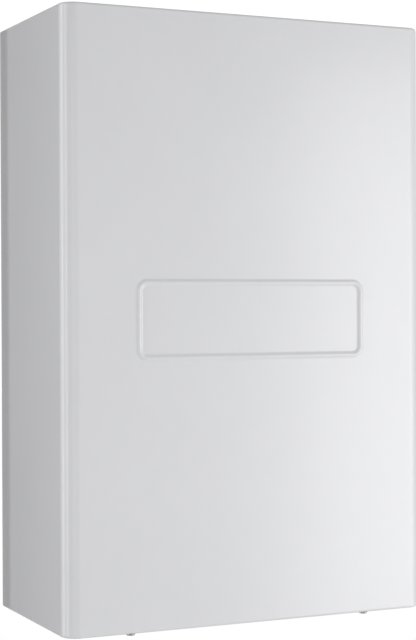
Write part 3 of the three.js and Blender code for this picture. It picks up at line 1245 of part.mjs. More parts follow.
/** A control knob with its pointer and its shaft. */
function controlKnob() {
  const [r, h] = [DIAL_RADIUS, DIAL_HEIGHT];
  const grip = turned([
    [0, -h], [r - 4, -h], [r - 3, -h + 2], [r - 2.5, -4], [r, -3], [r, 0], [0, 0],
  ], "z", [0, 0, 0], 24);
  const pointer = block([-1.2, 1.2], [-r + 2, 0], [-h - 1.2, -h + 1]);
  const shaft = rod(DIAL_SHAFT, [-1, FLOOR_Z + CONTROL_WALL + 12 - KNOB_Z], "z", [0, 0, 0], 12);
  return join(grip, pointer, shaft);
}

/** A rocker on its pivot bar, at rest with its right end pressed in. */
function powerSwitch() {
  const half = SWITCH_LENGTH / 2;
  const outline = new THREE.Shape();
  outline.moveTo(-half, -0.5);
  outline.lineTo(-half, -6);
  outline.lineTo(0, -3.8);
  outline.lineTo(half, -6);
  outline.lineTo(half, -0.5);
  outline.closePath();
  const bar = new THREE.ExtrudeGeometry(outline, { depth: SWITCH_WIDTH, bevelEnabled: false });
  bar.translate(0, 0, -SWITCH_WIDTH / 2).rotateX(Math.PI / 2);
  bar.rotateY(-THREE.MathUtils.degToRad(SWITCH_SWING / 2)).translate(0, 0, -SWITCH_PIVOT);
  return join(
    solid(bar), rod(SWITCH_PIVOT, [-SWITCH_WIDTH / 2, SWITCH_WIDTH / 2], "y", [0, 0, -SWITCH_PIVOT], 16),
  );
}

function pressureGauge() {
  const [r, h] = [GAUGE_RADIUS, GAUGE_HEIGHT];
  return turned([
    [0, 0], [r, 0], [r, -h + 1], [r - 1, -h], [r - GAUGE_WALL, -h], [r - GAUGE_WALL, -3], [0, -3],
  ], "z", [0, 0, 0], 24);
}

/** The needle on its pin, just below the dial face, at mid-scale: its tip points to the front. */
function gaugeNeedle() {
  const length = GAUGE_RADIUS - GAUGE_WALL - 3;
  return join(
    rod(2, [-3 - CLEAR - 3, -3 - CLEAR], "z", [0, 0, 0], 12),
    block([-0.8, 0.8], [-length, 4], [-3 - CLEAR - 2, -3 - CLEAR - 0.8]),
  );
}

function controlPanel() {
  const [w, d] = [PANEL_WIDTH / 2, PANEL_DEPTH / 2];
  const top = UNDER_Z - CLEAR;
  return cut(
    block([-w, w], [CONTROL_Y - d, CONTROL_Y + d], [top - PANEL_THICKNESS, top]),
    ...controlHoles([top - PANEL_THICKNESS - 1, top + 1]),
  );
}

function controls() {
  const group = groupAt(0, 0, 0);
  place(group, "control_box", controlBox(), FINISH.blackPlastic);
  const lidBack = CONTROL_Y - CONTROL_DEPTH / 2 - CLEAR;
  place(group, "control_lid", block([-CONTROL_WIDTH / 2, CONTROL_WIDTH / 2],
    [lidBack - LID_THICKNESS, lidBack], [FLOOR_Z + CLEAR, FLOOR_Z + CLEAR + CONTROL_HEIGHT],
  ), FINISH.greyPlastic);
  place(group, "circuit_board", circuitBoard(), FINISH.circuit);
  place(group, "control_panel", controlPanel(), FINISH.greyPlastic);
  const under = (x) => {
    const spot = groupAt(x, CONTROL_Y, KNOB_Z);
    group.add(spot);
    return spot;
  };
  place(under(HEATING_KNOB_X), "heating_knob", controlKnob(), FINISH.blackPlastic);
  place(under(WATER_KNOB_X), "hot_water_knob", controlKnob(), FINISH.blackPlastic);
  place(under(BUTTON_X), "reset_button", join(
    rod(BUTTON_RADIUS, [-BUTTON_HEIGHT - BUTTON_TRAVEL, -BUTTON_TRAVEL], "z", [0, 0, 0], 20),
    rod(BUTTON_RADIUS / 2, [-BUTTON_TRAVEL - 1, PANEL_THICKNESS + FRAME_SHEET + 3], "z", [0, 0, 0], 12),
  ), FINISH.redPlastic);
  place(under(SWITCH_X), "power_switch", powerSwitch(), FINISH.blackPlastic);
  const dial = under(GAUGE_X);
  place(dial, "pressure_gauge", pressureGauge(), FINISH.whitePlastic);
  place(dial, "gauge_needle", gaugeNeedle(), FINISH.redPlastic);
  return group;
}

// ---------------------------------------------------------------- the boiler
const boiler = new THREE.Group();
boiler.name = "combi_boiler";
boiler.add(enclosure(), flue(), heatModule(), fanUnit(), gasTrain(), expansion(), hydraulics(), controls());
place(boiler, "premix_duct", premixDuct(), FINISH.blackPlastic);
risers(boiler);

export default boiler;
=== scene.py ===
"""Looks of a slim wall-hung combination boiler, dressed round its fixed frame.

Sizes are in millimetres and become metres as each mesh is written. +X is to the right, +Y into the wall and
+Z up, and the origin is on the wall, on the line of the two hanging hooks.
"""

from __future__ import annotations

import json
import logging
import math
from dataclasses import dataclass
from enum import Enum
from typing import Callable, Iterable, Sequence

import bmesh
import bpy
from mathutils import Matrix, Vector

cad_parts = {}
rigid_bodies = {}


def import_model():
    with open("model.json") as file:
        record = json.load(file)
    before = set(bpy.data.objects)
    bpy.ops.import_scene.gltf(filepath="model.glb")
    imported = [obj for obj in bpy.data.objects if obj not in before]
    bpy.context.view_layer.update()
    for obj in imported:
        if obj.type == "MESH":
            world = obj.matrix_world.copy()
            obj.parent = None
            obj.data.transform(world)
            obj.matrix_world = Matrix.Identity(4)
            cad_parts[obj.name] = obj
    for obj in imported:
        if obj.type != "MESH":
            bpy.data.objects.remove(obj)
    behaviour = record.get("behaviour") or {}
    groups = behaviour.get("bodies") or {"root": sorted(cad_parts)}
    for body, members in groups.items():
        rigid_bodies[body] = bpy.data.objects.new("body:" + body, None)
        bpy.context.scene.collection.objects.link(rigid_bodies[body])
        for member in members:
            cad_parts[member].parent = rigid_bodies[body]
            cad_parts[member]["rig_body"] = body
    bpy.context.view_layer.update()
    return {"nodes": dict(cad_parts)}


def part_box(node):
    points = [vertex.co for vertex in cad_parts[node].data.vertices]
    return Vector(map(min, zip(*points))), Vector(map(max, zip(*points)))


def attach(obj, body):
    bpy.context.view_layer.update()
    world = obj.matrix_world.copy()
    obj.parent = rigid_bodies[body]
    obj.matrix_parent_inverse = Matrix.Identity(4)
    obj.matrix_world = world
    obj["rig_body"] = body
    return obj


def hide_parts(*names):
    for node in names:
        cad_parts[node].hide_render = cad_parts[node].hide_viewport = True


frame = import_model()

LOG = logging.getLogger("boiler")
MM = 0.001
Colour = tuple[float, float, float]
Point = tuple[float, float, float]
Socket = bpy.types.NodeSocket


class Axis(Enum):
    """The way along which a turned or pressed shape lies."""

    X = (1.0, 0.0, 0.0)
    Y = (0.0, 1.0, 0.0)
    Z = (0.0, 0.0, 1.0)


class Pattern(Enum):
    """The small structure that a finish shows."""

    PEEL = "Peel"
    MOULDED = "Moulded"
    CAST = "Cast"
    BRUSHED = "Brushed"
    SPANGLE = "Spangle"


# ------------------------------------------------------------------ node graphs


class Graph:
    """Adds nodes to one node tree and joins them."""

    def __init__(self, tree: bpy.types.NodeTree) -> None:
        """Keeps the tree that the nodes go into.

        Args:
            tree: the tree.
        """
        self.tree = tree

    def node(self, kind: str, **values: object) -> bpy.types.Node:
        """Adds one node.

        Args:
            kind: the node's type name, without "ShaderNode".
            values: properties of the node to set.

        Returns:
            The new node.
        """
        made = self.tree.nodes.new(kind if kind.startswith("NodeGroup") else "ShaderNode" + kind)
        for key, value in values.items():
            setattr(made, key, value)
        return made

    def feed(self, socket: Socket, value: object) -> None:
        """Joins an input to an output, or sets it.

        Args:
            socket: the input.
            value: an output, a number or a tuple.
        """
        if isinstance(value, bpy.types.NodeSocket):
            self.tree.links.new(value, socket)
        else:
            socket.default_value = value

    def maths(self, operation: str, *values: object, clamp: bool = False) -> Socket:
        """Adds a Math node.

        Args:
            operation: what it works out.
            values: its numbers or outputs.
            clamp: whether the result stays between 0 and 1.

        Returns:
            Its output.
        """
        made = self.node("Math", operation=operation, use_clamp=clamp)
        for socket, value in zip(made.inputs, values):
            self.feed(socket, value)
        return made.outputs[0]

    def noise(self, vector: object, scale: object, detail: float = 2.0) -> Socket:
        """Adds a noise texture.

        Args:
            vector: where it is read.
            scale: waves per metre.
            detail: how many finer waves are laid over them.

        Returns:
            Its value, from 0 to 1.
        """
        made = self.node("TexNoise")
        self.feed(made.inputs["Vector"], vector)
        self.feed(made.inputs["Scale"], scale)
        made.inputs["Detail"].default_value = detail
        return made.outputs["Fac"]

    def between(self, value: object, span: tuple[float, float], result: tuple[object, object]) -> Socket:
        """Adds a Map Range node.

        Args:
            value: what is mapped.
            span: values that give the lowest and the highest result.
            result: lowest and highest result.

        Returns:
            The mapped value.
        """
        made = self.node("MapRange")
        for name, number in zip(("Value", "From Min", "From Max", "To Min", "To Max"),
                                (value, *span, *result)):
            self.feed(made.inputs[name], number)
        return made.outputs["Result"]

    def blend(self, factor: object, first: object, second: object) -> Socket:
        """Adds a mix of two colours.

        Args:
            factor: share of the second.
            first: colour or output.
            second: colour or output.

        Returns:
            The mixed colour.
        """
        made = self.node("Mix", data_type="RGBA")
        self.feed(made.inputs[0], factor)
        self.feed(made.inputs[6], (*first, 1.0) if isinstance(first, tuple) else first)
        self.feed(made.inputs[7], (*second, 1.0) if isinstance(second, tuple) else second)
        return made.outputs[2]


@dataclass(frozen=True)
class Effect:
    """A shader node group that several finishes share.

    Attributes:
        name: the group's name.
        inputs: name, socket type and default value of each input.
        outputs: name and socket type of each output.
        recipe: joins the inputs to the outputs.
    """

    name: str
    inputs: tuple[tuple[str, str, object], ...]
    outputs: tuple[tuple[str, str], ...]
    recipe: Callable[[Graph, dict[str, Socket]], dict[str, Socket]]

    def group(self) -> bpy.types.NodeTree:
        """Gives the group, built the first time.

        Returns:
            The node tree.
        """
        found = bpy.data.node_groups.get(self.name)
        if found is not None:
            return found
        tree = bpy.data.node_groups.new(self.name, "ShaderNodeTree")
        for name, kind, value in self.inputs:
            socket = tree.interface.new_socket(name, in_out="INPUT", socket_type="NodeSocket" + kind)
            if kind != "Vector":
                socket.default_value = value
        for name, kind in self.outputs:
            tree.interface.new_socket(name, in_out="OUTPUT", socket_type="NodeSocket" + kind)
        graph = Graph(tree)
        start, end = graph.node("NodeGroupInput"), graph.node("NodeGroupOutput")
        for name, socket in self.recipe(graph, {s.name: s for s in start.outputs}).items():
            tree.links.new(socket, end.inputs[name])
        return tree

    def place(self, graph: Graph, **values: object) -> dict[str, Socket]:
        """Puts the group in a material.

        Args:
            graph: the material's graph.
            values: what its inputs get, by name in lower case.

        Returns:
            Its outputs by name.
        """
        made = graph.node("Group")
        made.node_tree = self.group()
        for name, value in values.items():
            graph.feed(made.inputs[name.capitalize()], value)
        return {s.name: s for s in made.outputs}


def _drift(graph: Graph, put: dict[str, Socket]) -> dict[str, Socket]:
    """Slow change of tone over a piece, from two waves of noise.

    Args:
        graph: the graph of the effect's group.
        put: the group's inputs by name.

    Returns:
        The mask of the tone, as Mask.
    """
    slow = graph.noise(put["Vector"], put["Scale"], 3.0)
    fast = graph.noise(put["Vector"], graph.maths("MULTIPLY", put["Scale"], 6.3), 2.0)
    both = graph.maths("ADD", graph.maths("MULTIPLY", slow, 0.7), graph.maths("MULTIPLY", fast, 0.3))
    return {"Mask": graph.between(both, (0.35, 0.65), (0.0, 1.0))}


def _peel(graph: Graph, put: dict[str, Socket]) -> dict[str, Socket]:
    """Low, round waves of a stoved powder coat.

    Args:
        graph: the graph of the effect's group.
        put: the group's inputs by name.

    Returns:
        The relief, as Height, and its fine part, as Mask.
    """
    coarse = graph.noise(put["Vector"], put["Scale"], 0.0)
    fine = graph.noise(put["Vector"], graph.maths("MULTIPLY", put["Scale"], 2.7), 1.0)
    return {"Height": graph.maths("ADD", coarse, graph.maths("MULTIPLY", fine, 0.25)), "Mask": fine}


def _cells(graph: Graph, put: dict[str, Socket], feature: str) -> tuple[Socket, Socket]:
    """Cells of one size: their distance and their colour.

    Args:
        graph: the graph of the effect's group.
        put: the group's inputs by name.
        feature: what the cells measure.

    Returns:
        The distance and the colour of the cells.
    """
    cells = graph.node("TexVoronoi", feature=feature)
    graph.feed(cells.inputs["Vector"], put["Vector"])
    graph.feed(cells.inputs["Scale"], put["Scale"])
    return cells.outputs["Distance"], cells.outputs["Color"]


def _moulded(graph: Graph, put: dict[str, Socket]) -> dict[str, Socket]:
    """Fine pebbling that a mould leaves on plastic.

    Args:
        graph: the graph of the effect's group.
        put: the group's inputs by name.

    Returns:
        The relief, as Height, and its fine part, as Mask.
    """
    pebble, _ = _cells(graph, put, "SMOOTH_F1")
    fine = graph.noise(put["Vector"], graph.maths("MULTIPLY", put["Scale"], 3.1), 2.0)
    return {"Height": graph.maths("ADD", pebble, graph.maths("MULTIPLY", fine, 0.3)), "Mask": fine}


def _cast(graph: Graph, put: dict[str, Socket]) -> dict[str, Socket]:
    """Sandy skin of a casting, with a few pits.

    Args:
        graph: the graph of the effect's group.
        put: the group's inputs by name.

    Returns:
        The relief, as Height, and the skin, as Mask.
    """
    skin = graph.noise(put["Vector"], put["Scale"], 6.0)
    pit, _ = _cells(graph, put, "F1")
    deep = graph.between(pit, (0.0, 0.25), (0.0, 1.0))
    return {"Height": graph.maths("MULTIPLY", skin, deep), "Mask": skin}


def _brushed(graph: Graph, put: dict[str, Socket]) -> dict[str, Socket]:
    """Long, thin scratches along the vector's first way.

    Args:
        graph: the graph of the effect's group.
        put: the group's inputs by name.

    Returns:
        The relief, as Height, and the scratches, as Mask.
    """
    drawn = graph.node("Mapping")
    graph.feed(drawn.inputs["Vector"], put["Vector"])
    drawn.inputs["Scale"].default_value = (0.02, 1.0, 1.0)
    lines = graph.noise(drawn.outputs[0], put["Scale"], 4.0)
    return {"Height": lines, "Mask": graph.between(lines, (0.3, 0.7), (0.0, 1.0))}


def _spangle(graph: Graph, put: dict[str, Socket]) -> dict[str, Socket]:
    """Flat crystals of hot-dipped zinc, each of its own tone.

    Args:
        graph: the graph of the effect's group.
        put: the group's inputs by name.

    Returns:
        The relief, as Height, and the tone of each crystal, as Mask.
    """
    distance, colour = _cells(graph, put, "F1")
    tone = graph.node("SeparateColor")
    graph.feed(tone.inputs[0], colour)
    return {"Height": graph.maths("MULTIPLY", distance, 0.2), "Mask": tone.outputs[0]}


def _wear(graph: Graph, put: dict[str, Socket]) -> dict[str, Socket]:
    """Edges rubbed a little brighter, broken up by noise.

    Args:
        graph: the graph of the effect's group.
        put: the group's inputs by name.

    Returns:
        Where the edges are rubbed, as Mask.
    """
    soft = graph.node("Bevel", samples=4)
    graph.feed(soft.inputs["Radius"], put["Reach"])
    flat = graph.node("NewGeometry")
    turn = graph.node("VectorMath", operation="DOT_PRODUCT")
    graph.feed(turn.inputs[0], soft.outputs[0])
    graph.feed(turn.inputs[1], flat.outputs["Normal"])
    edge = graph.between(turn.outputs["Value"], (0.995, 0.93), (0.0, 1.0))
    broken = graph.between(graph.noise(put["Vector"], 240.0, 3.0), (0.42, 0.62), (0.0, 1.0))
    return {"Mask": graph.maths("MULTIPLY", edge, broken, clamp=True)}


def _dust(graph: Graph, put: dict[str, Socket]) -> dict[str, Socket]:
    """Fine dust lying on what faces up.

    Args:
        graph: the graph of the effect's group.
        put: the group's inputs by name.

    Returns:
        Where dust lies, as Mask.
    """
    facing = graph.node("SeparateXYZ")
    graph.feed(facing.inputs[0], graph.node("NewGeometry").outputs["Normal"])
    up = graph.between(facing.outputs["Z"], (0.55, 1.0), (0.0, 1.0))
    patches = graph.between(graph.noise(put["Vector"], 45.0, 6.0), (0.35, 0.7), (0.15, 1.0))
    return {"Mask": graph.maths("MULTIPLY", graph.maths("MULTIPLY", up, patches), put["Amount"], clamp=True)}


_AT = ("Vector", "Vector", None)
_STRUCTURE = (("Height", "Float"), ("Mask", "Float"))
DRIFT = Effect("tone_drift", (_AT, ("Scale", "Float", 8.0)), (("Mask", "Float"),), _drift)
WEAR = Effect("edge_wear", (_AT, ("Reach", "Float", 0.001)), (("Mask", "Float"),), _wear)
DUST = Effect("settled_dust", (_AT, ("Amount", "Float", 0.2)), (("Mask", "Float"),), _dust)
STRUCTURES = {
    Pattern.PEEL: Effect("powder_peel", (_AT, ("Scale", "Float", 450.0)), _STRUCTURE, _peel),
    Pattern.MOULDED: Effect("moulded_grain", (_AT, ("Scale", "Float", 1400.0)), _STRUCTURE, _moulded),
    Pattern.CAST: Effect("cast_skin", (_AT, ("Scale", "Float", 900.0)), _STRUCTURE, _cast),
    Pattern.BRUSHED: Effect("drawn_lines", (_AT, ("Scale", "Float", 1500.0)), _STRUCTURE, _brushed),
    Pattern.SPANGLE: Effect("zinc_spangle", (_AT, ("Scale", "Float", 140.0)), _STRUCTURE, _spangle),
}


@dataclass(frozen=True)
class Finish:
    """One finish: a shader whose colour, roughness and relief change over the piece.

    Attributes:
        name: the material's name.
        slot: the record's material slot.
        colour: main colour, linear.
        shade: colour that it drifts to.
        roughness: lowest and highest roughness.
        pattern: its small structure.
        scale: size of that structure, in waves per metre.
        relief: height of that structure, in metres.
        metallic: 1 for bare metal.
        coat: share of a clear coat.
        bare: colour that its worn edges show.
        wear: share of the bare colour on the edges.
        dust: share of dust on what faces up.
    """

    name: str
    slot: str
    colour: Colour
    shade: Colour
    roughness: tuple[float, float]
    pattern: Pattern
    scale: float
    relief: float
    metallic: float = 0.0
    coat: float = 0.0
    bare: Colour = (0.6, 0.6, 0.6)
    wear: float = 0.0
    dust: float = 0.0

    def material(self) -> bpy.types.Material:
        """Gives the material, built the first time.

        Returns:
            The material.
        """
        found = bpy.data.materials.get("finish_" + self.name)
        if found is not None:
            return found
        made = bpy.data.materials.new("finish_" + self.name)
        made.use_nodes = True
        graph = Graph(made.node_tree)
        shader = made.node_tree.nodes["Principled BSDF"]
        place = graph.node("TexCoord").outputs["Object"]
        tone = DRIFT.place(graph, vector=place, scale=9.0)["Mask"]
        small = STRUCTURES[self.pattern].place(graph, vector=place, scale=self.scale)
        if self.pattern is Pattern.SPANGLE:
            tone = graph.maths("ADD", graph.maths("MULTIPLY", tone, 0.3),
                               graph.maths("MULTIPLY", small["Mask"], 0.7))
        colour = graph.blend(tone, self.colour, self.shade)
        rough = graph.between(small["Mask"], (0.2, 0.8), self.roughness)
        if self.wear:
            worn = graph.maths("MULTIPLY", WEAR.place(graph, vector=place, reach=0.0012)["Mask"], self.wear)
            colour = graph.blend(worn, colour, self.bare)
        if self.dust:
            settled = DUST.place(graph, vector=place, amount=self.dust)["Mask"]
            colour = graph.blend(settled, colour, (0.42, 0.40, 0.37))
            rough = graph.maths("ADD", rough, graph.maths("MULTIPLY", settled, 0.5), clamp=True)
        graph.feed(shader.inputs["Base Color"], colour)
        graph.feed(shader.inputs["Roughness"], rough)
        shader.inputs["Metallic"].default_value = self.metallic
        shader.inputs["Coat Weight"].default_value = self.coat
        shader.inputs["Coat Roughness"].default_value = 0.16
        relief = graph.node("Bump")
        relief.inputs["Distance"].default_value = self.relief
        relief.inputs["Strength"].default_value = 0.6
        graph.feed(relief.inputs["Height"], small["Height"])
        graph.feed(shader.inputs["Normal"], relief.outputs[0])
        return made


METAL_DUST = 0.12


def _metal(name: str, slot: str, colour: Colour, shade: Colour, pattern: Pattern, scale: float,
           relief: float, roughness: tuple[float, float]) -> Finish:
    """Makes a bare metal finish.

    Args:
        name: the material's name.
        slot: the record's slot.
        colour: main colour.
        shade: colour that it drifts to.
        pattern: its small structure.
        scale: waves of that structure per metre.
        relief: its height in metres.
        roughness: lowest and highest roughness.

    Returns:
        The finish.
    """
    return Finish(name, slot, colour, shade, roughness, pattern, scale, relief, metallic=1.0,
                  dust=METAL_DUST)


FINISHES = {
    finish.slot: finish
    for finish in (
        Finish("white_powder_coat", "white_paint", (0.795, 0.797, 0.812), (0.811, 0.813, 0.83), (0.30, 0.36),
               Pattern.PEEL, 420.0, 0.00004, coat=0.4),
        _metal("zinc_coated_sheet", "zinc_sheet", (0.46, 0.48, 0.50), (0.62, 0.64, 0.66), Pattern.SPANGLE,
               110.0, 0.00003, (0.34, 0.52)),
        _metal("plated_steel", "bright_steel", (0.62, 0.61, 0.58), (0.54, 0.53, 0.50), Pattern.BRUSHED,
               1400.0, 0.000005, (0.22, 0.36)),
        _metal("stainless_sheet", "stainless", (0.60, 0.60, 0.60), (0.52, 0.52, 0.53), Pattern.BRUSHED,
               1700.0, 0.000004, (0.24, 0.36)),
        _metal("exchanger_casting", "exchanger_alloy", (0.50, 0.51, 0.52), (0.40, 0.41, 0.42), Pattern.CAST,
               700.0, 0.00012, (0.42, 0.60)),
        _metal("die_cast_alloy", "cast_alloy", (0.55, 0.56, 0.57), (0.46, 0.47, 0.48), Pattern.CAST, 900.0,
               0.00010, (0.38, 0.55)),
        _metal("copper_pipe", "copper", (0.72, 0.36, 0.22), (0.55, 0.25, 0.15), Pattern.BRUSHED, 1600.0,
               0.000004, (0.20, 0.34)),
        _metal("yellow_brass", "yellow_brass", (0.62, 0.45, 0.18), (0.50, 0.34, 0.12), Pattern.CAST, 1100.0,
               0.00005, (0.24, 0.42)),
        Finish("glass_filled_composite", "block_composite", (0.030, 0.031, 0.033), (0.045, 0.046, 0.048),
               (0.42, 0.60), Pattern.MOULDED, 900.0, 0.00005, dust=0.25),
        Finish("black_plastic", "black_plastic", (0.018, 0.018, 0.020), (0.026, 0.026, 0.028), (0.34, 0.48),
               Pattern.MOULDED, 1400.0, 0.00004, dust=0.2),
        Finish("grey_plastic", "grey_plastic", (0.155, 0.165, 0.175), (0.18, 0.19, 0.20), (0.36, 0.5),
               Pattern.MOULDED, 1300.0, 0.00004, dust=0.15),
        Finish("white_plastic", "white_plastic", (0.78, 0.78, 0.75), (0.74, 0.74, 0.70), (0.30, 0.42),
               Pattern.MOULDED, 1500.0, 0.00003, dust=0.1),
        Finish("red_tank_paint", "red_paint", (0.42, 0.020, 0.014), (0.34, 0.014, 0.010), (0.28, 0.40),
               Pattern.PEEL, 500.0, 0.00006, coat=0.3, wear=0.5, dust=0.2),
        Finish("red_plastic", "red_plastic", (0.52, 0.022, 0.016), (0.46, 0.018, 0.014), (0.30, 0.42),
               Pattern.MOULDED, 1500.0, 0.00003),
        Finish("blue_plastic", "blue_plastic", (0.016, 0.105, 0.42), (0.013, 0.085, 0.36), (0.30, 0.42),
               Pattern.MOULDED, 1500.0, 0.00003),
        Finish("black_rubber", "black_rubber", (0.014, 0.014, 0.014), (0.030, 0.030, 0.029), (0.60, 0.80),
               Pattern.MOULDED, 700.0, 0.00006, dust=0.3),
        Finish("glazed_ceramic", "white_ceramic", (0.82, 0.80, 0.74), (0.74, 0.71, 0.64), (0.12, 0.24),
               Pattern.PEEL, 700.0, 0.00003, coat=0.5),
        Finish("solder_mask", "green_board", (0.012, 0.13, 0.045), (0.010, 0.10, 0.036), (0.22, 0.36),
               Pattern.MOULDED, 600.0, 0.00003, coat=0.3),
    )
}


# ------------------------------------------------------------------ meshes


def _flat(across: float, sides: int, angle: float) -> float:
    """Gives how far the side of a regular polygon is from its middle.

    Args:
        across: its size across the flats.
        sides: how many sides it has.
        angle: the way that is looked, in radians.

    Returns:
        The distance.
    """
    step = math.tau / sides
    return across / 2 / math.cos(angle % step - step / 2)


def _edges_at(verts: Iterable[bmesh.types.BMVert]) -> list[bmesh.types.BMEdge]:
    """Gives the edges that end at any of the vertices.

    Args:
        verts: the vertices.

    Returns:
        The edges, each once, in the order in which they are met.
    """
    return list(dict.fromkeys(e for v in verts for e in v.link_edges))


def _verts_in(parts: Iterable[object]) -> list[bmesh.types.BMVert]:
    """Picks the vertices from what an operator gives back.

    Args:
        parts: vertices, edges and faces.

    Returns:
        The vertices, in the same order.
    """
    return [p for p in parts if isinstance(p, bmesh.types.BMVert)]


def _bent(points: Sequence[Point], bend: float, pitch: float) -> list[Vector]:
    """Rounds the corners of a line.

    Args:
        points: its corners.
        bend: room that each bend takes on both sides of its corner.
        pitch: distance between the points of an evenly cut line, or 0.

    Returns:
        The points along it.
    """
    stops = [Vector(p) for p in points]
    line = [stops[0]]
    for i in range(1, len(stops) - 1):
        before, after = stops[i - 1] - stops[i], stops[i + 1] - stops[i]
        room = min(bend, before.length * (0.9 if i == 1 else 0.5),
                   after.length * (0.9 if i == len(stops) - 2 else 0.5))
        start, end = stops[i] + before.normalized() * room, stops[i] + after.normalized() * room
        line += [start.lerp(stops[i], t / 10).lerp(stops[i].lerp(end, t / 10), t / 10) for t in range(11)]
    line.append(stops[-1])
    line = [line[0], *(b for a, b in zip(line, line[1:]) if (b - a).length > 1e-3)]
    if not pitch:
        return line
    lengths = [(b - a).length for a, b in zip(line, line[1:])]
    count = round(sum(lengths) / pitch)
    even, at, gone = [line[0]], 0, 0.0
    for step in range(1, count):
        goal = sum(lengths) * step / count
        while gone + lengths[at] < goal:
            gone += lengths[at]
            at += 1
        even.append(line[at].lerp(line[at + 1], (goal - gone) / lengths[at]))
    return [*even, line[-1]]


class Shape:
    """A bmesh in the making, in millimetres, with the operators that the pieces share."""

    def __init__(self) -> None:
        """Starts empty."""
        self.bm = bmesh.new()

    @classmethod
    def copied(cls, node: str) -> Shape:
        """Starts from a CAD node's mesh, with its flat faces made whole.

        Args:
            node: the node's name.

        Returns:
            The shape, in millimetres.
        """
        made = cls()
        made.bm.from_mesh(frame["nodes"][node].data)
        bmesh.ops.scale(made.bm, vec=(1 / MM, 1 / MM, 1 / MM), verts=made.bm.verts[:])
        bmesh.ops.remove_doubles(made.bm, verts=made.bm.verts[:], dist=0.002)
        bmesh.ops.dissolve_limit(made.bm, angle_limit=math.radians(1.0), verts=made.bm.verts[:],
                                 edges=made.bm.edges[:])
        return made

    def ease(self, edge: float, segments: int = 2, angle: float = 32.0) -> None:
        """Rounds every sharp edge.

        Args:
            edge: its radius.
            segments: steps round it.
            angle: degrees past which an edge is sharp.
        """
        limit = math.radians(angle)
        self.bm.normal_update()
        self.soften([e for e in self.bm.edges if e.is_manifold and e.calc_face_angle(0.0) > limit], edge,
                    segments)

    def path(self, points: Iterable[Point]) -> list[bmesh.types.BMVert]:
        """Adds a chain of vertices joined by edges.

        Args:
            points: where they are.

        Returns:
            The new vertices in order.
        """
        verts = [self.bm.verts.new(p) for p in points]
        for a, b in zip(verts, verts[1:]):
            self.bm.edges.new((a, b))
        return verts

    def turn(self, profile: Sequence[tuple[float, float]], axis: Axis, centre: Point, steps: int = 48,
             way: float = 1.0) -> list[bmesh.types.BMVert]:
        """Spins a profile into a closed body, or into a ring where no end of it lies on the axis.

        Args:
            profile: distances from the axis and along it, from one end of the axis to the other.
            axis: the axis.
            centre: a point on it, from which the distances along it are counted.
            steps: how many faces go round.
            way: 1 where the distances count along the axis, -1 against it.

        Returns:
            The new vertices.
        """
        old = set(self.bm.verts)
        along, out = Vector(axis.value), Vector((0, 0, 1)) if axis is Axis.Y else Vector((0, 1, 0))
        start = Vector(centre)
        places = [start + out * r + along * h * way for r, h in profile]
        verts = self.path(places if profile[0][0] == 0 else [*places, places[0]])
        bmesh.ops.spin(self.bm, geom=[*verts, *_edges_at(verts)], cent=start, axis=along,
                       dvec=(0, 0, 0), angle=math.tau, steps=steps, use_merge=True, use_duplicate=False)
        bmesh.ops.remove_doubles(self.bm, verts=self.since(old), dist=1e-4)
        return self.since(old)

    def drawn_in(self, verts: Iterable[bmesh.types.BMVert], axis: Axis, centre: Point,
                 reach: Callable[[float, float], float]) -> None:
        """Draws the surface of a turned body in towards its axis.

        Args:
            verts: what may move.
            axis: the body's axis.
            centre: a point on it.
            reach: gives the new distance from the axis, from the old one and the angle round it.
        """
        along, start = Vector(axis.value), Vector(centre)
        up = Vector((0, 0, 1)) if axis is not Axis.Z else Vector((0, 1, 0))
        side = along.cross(up)
        for vert in verts:
            foot = start + along * (vert.co - start).dot(along)
            arm = vert.co - foot
            if arm.length > 1e-6:
                angle = math.atan2(arm.dot(up), arm.dot(side)) % math.tau
                vert.co = foot + arm.normalized() * reach(arm.length, angle)

    def nut(self, axis: Axis, centre: Point, across: float, bore: float, height: float,
            way: float = 1.0) -> None:
        """Adds a hexagon nut, chamfered at both ends.

        Args:
            axis: its axis.
            centre: the middle of its lower end.
            across: its size across the flats.
            bore: radius of its hole, or 0 for a bolt's head.
            height: how high it is.
            way: 1 where it stands up along the axis, -1 where it hangs.
        """
        point = across / math.sqrt(3.0)
        slope = [(across / 2 * 0.95 + (point - across / 2 * 0.95) * i / 4, (point - across / 2) * 0.16 * i)
                 for i in range(5)]
        profile = [(bore, 0.0), *slope, *((r, height - h) for r, h in reversed(slope)), (bore, height)]
        flats = self.turn(profile, axis, centre, 48, way)
        self.drawn_in(flats, axis, centre, lambda r, angle: min(r, _flat(across, 6, angle)))

    def screw(self, axis: Axis, centre: Point, radius: float, way: float, height: float = 2.2) -> None:
        """Adds the domed head of a screw with a six-sided socket.

        Args:
            axis: its axis.
            centre: the middle of its seat.
            radius: radius of the head.
            way: 1 where the head looks along the axis, -1 against it.
            height: how high it is.
        """
        socket, deep = radius * 0.42, height * 0.7
        profile = [(0.0, height - deep), (socket, height - deep), (socket, height * 0.96),
                   (socket * 1.12, height)]
        profile += [(radius * (0.6 + 0.4 * math.sin(a)), height * (0.35 + 0.65 * math.cos(a)))
                    for a in (math.pi / 2 * i / 5 for i in range(6))]
        head = self.turn([*profile, (radius, 0.0), (0.0, 0.0)], axis, centre, 36, way)
        hollow = [v for v in head
                  if (v.co - Vector(centre)).cross(Vector(axis.value)).length < socket * 1.05]
        self.drawn_in(hollow, axis, centre, lambda r, angle: min(r, _flat(socket * 1.75, 6, angle)))

    def since(self, old: set[bmesh.types.BMVert]) -> list[bmesh.types.BMVert]:
        """Gives the vertices that were added since a moment.

        Args:
            old: those that were there then.

        Returns:
            The others.
        """
        return [v for v in self.bm.verts if v not in old]

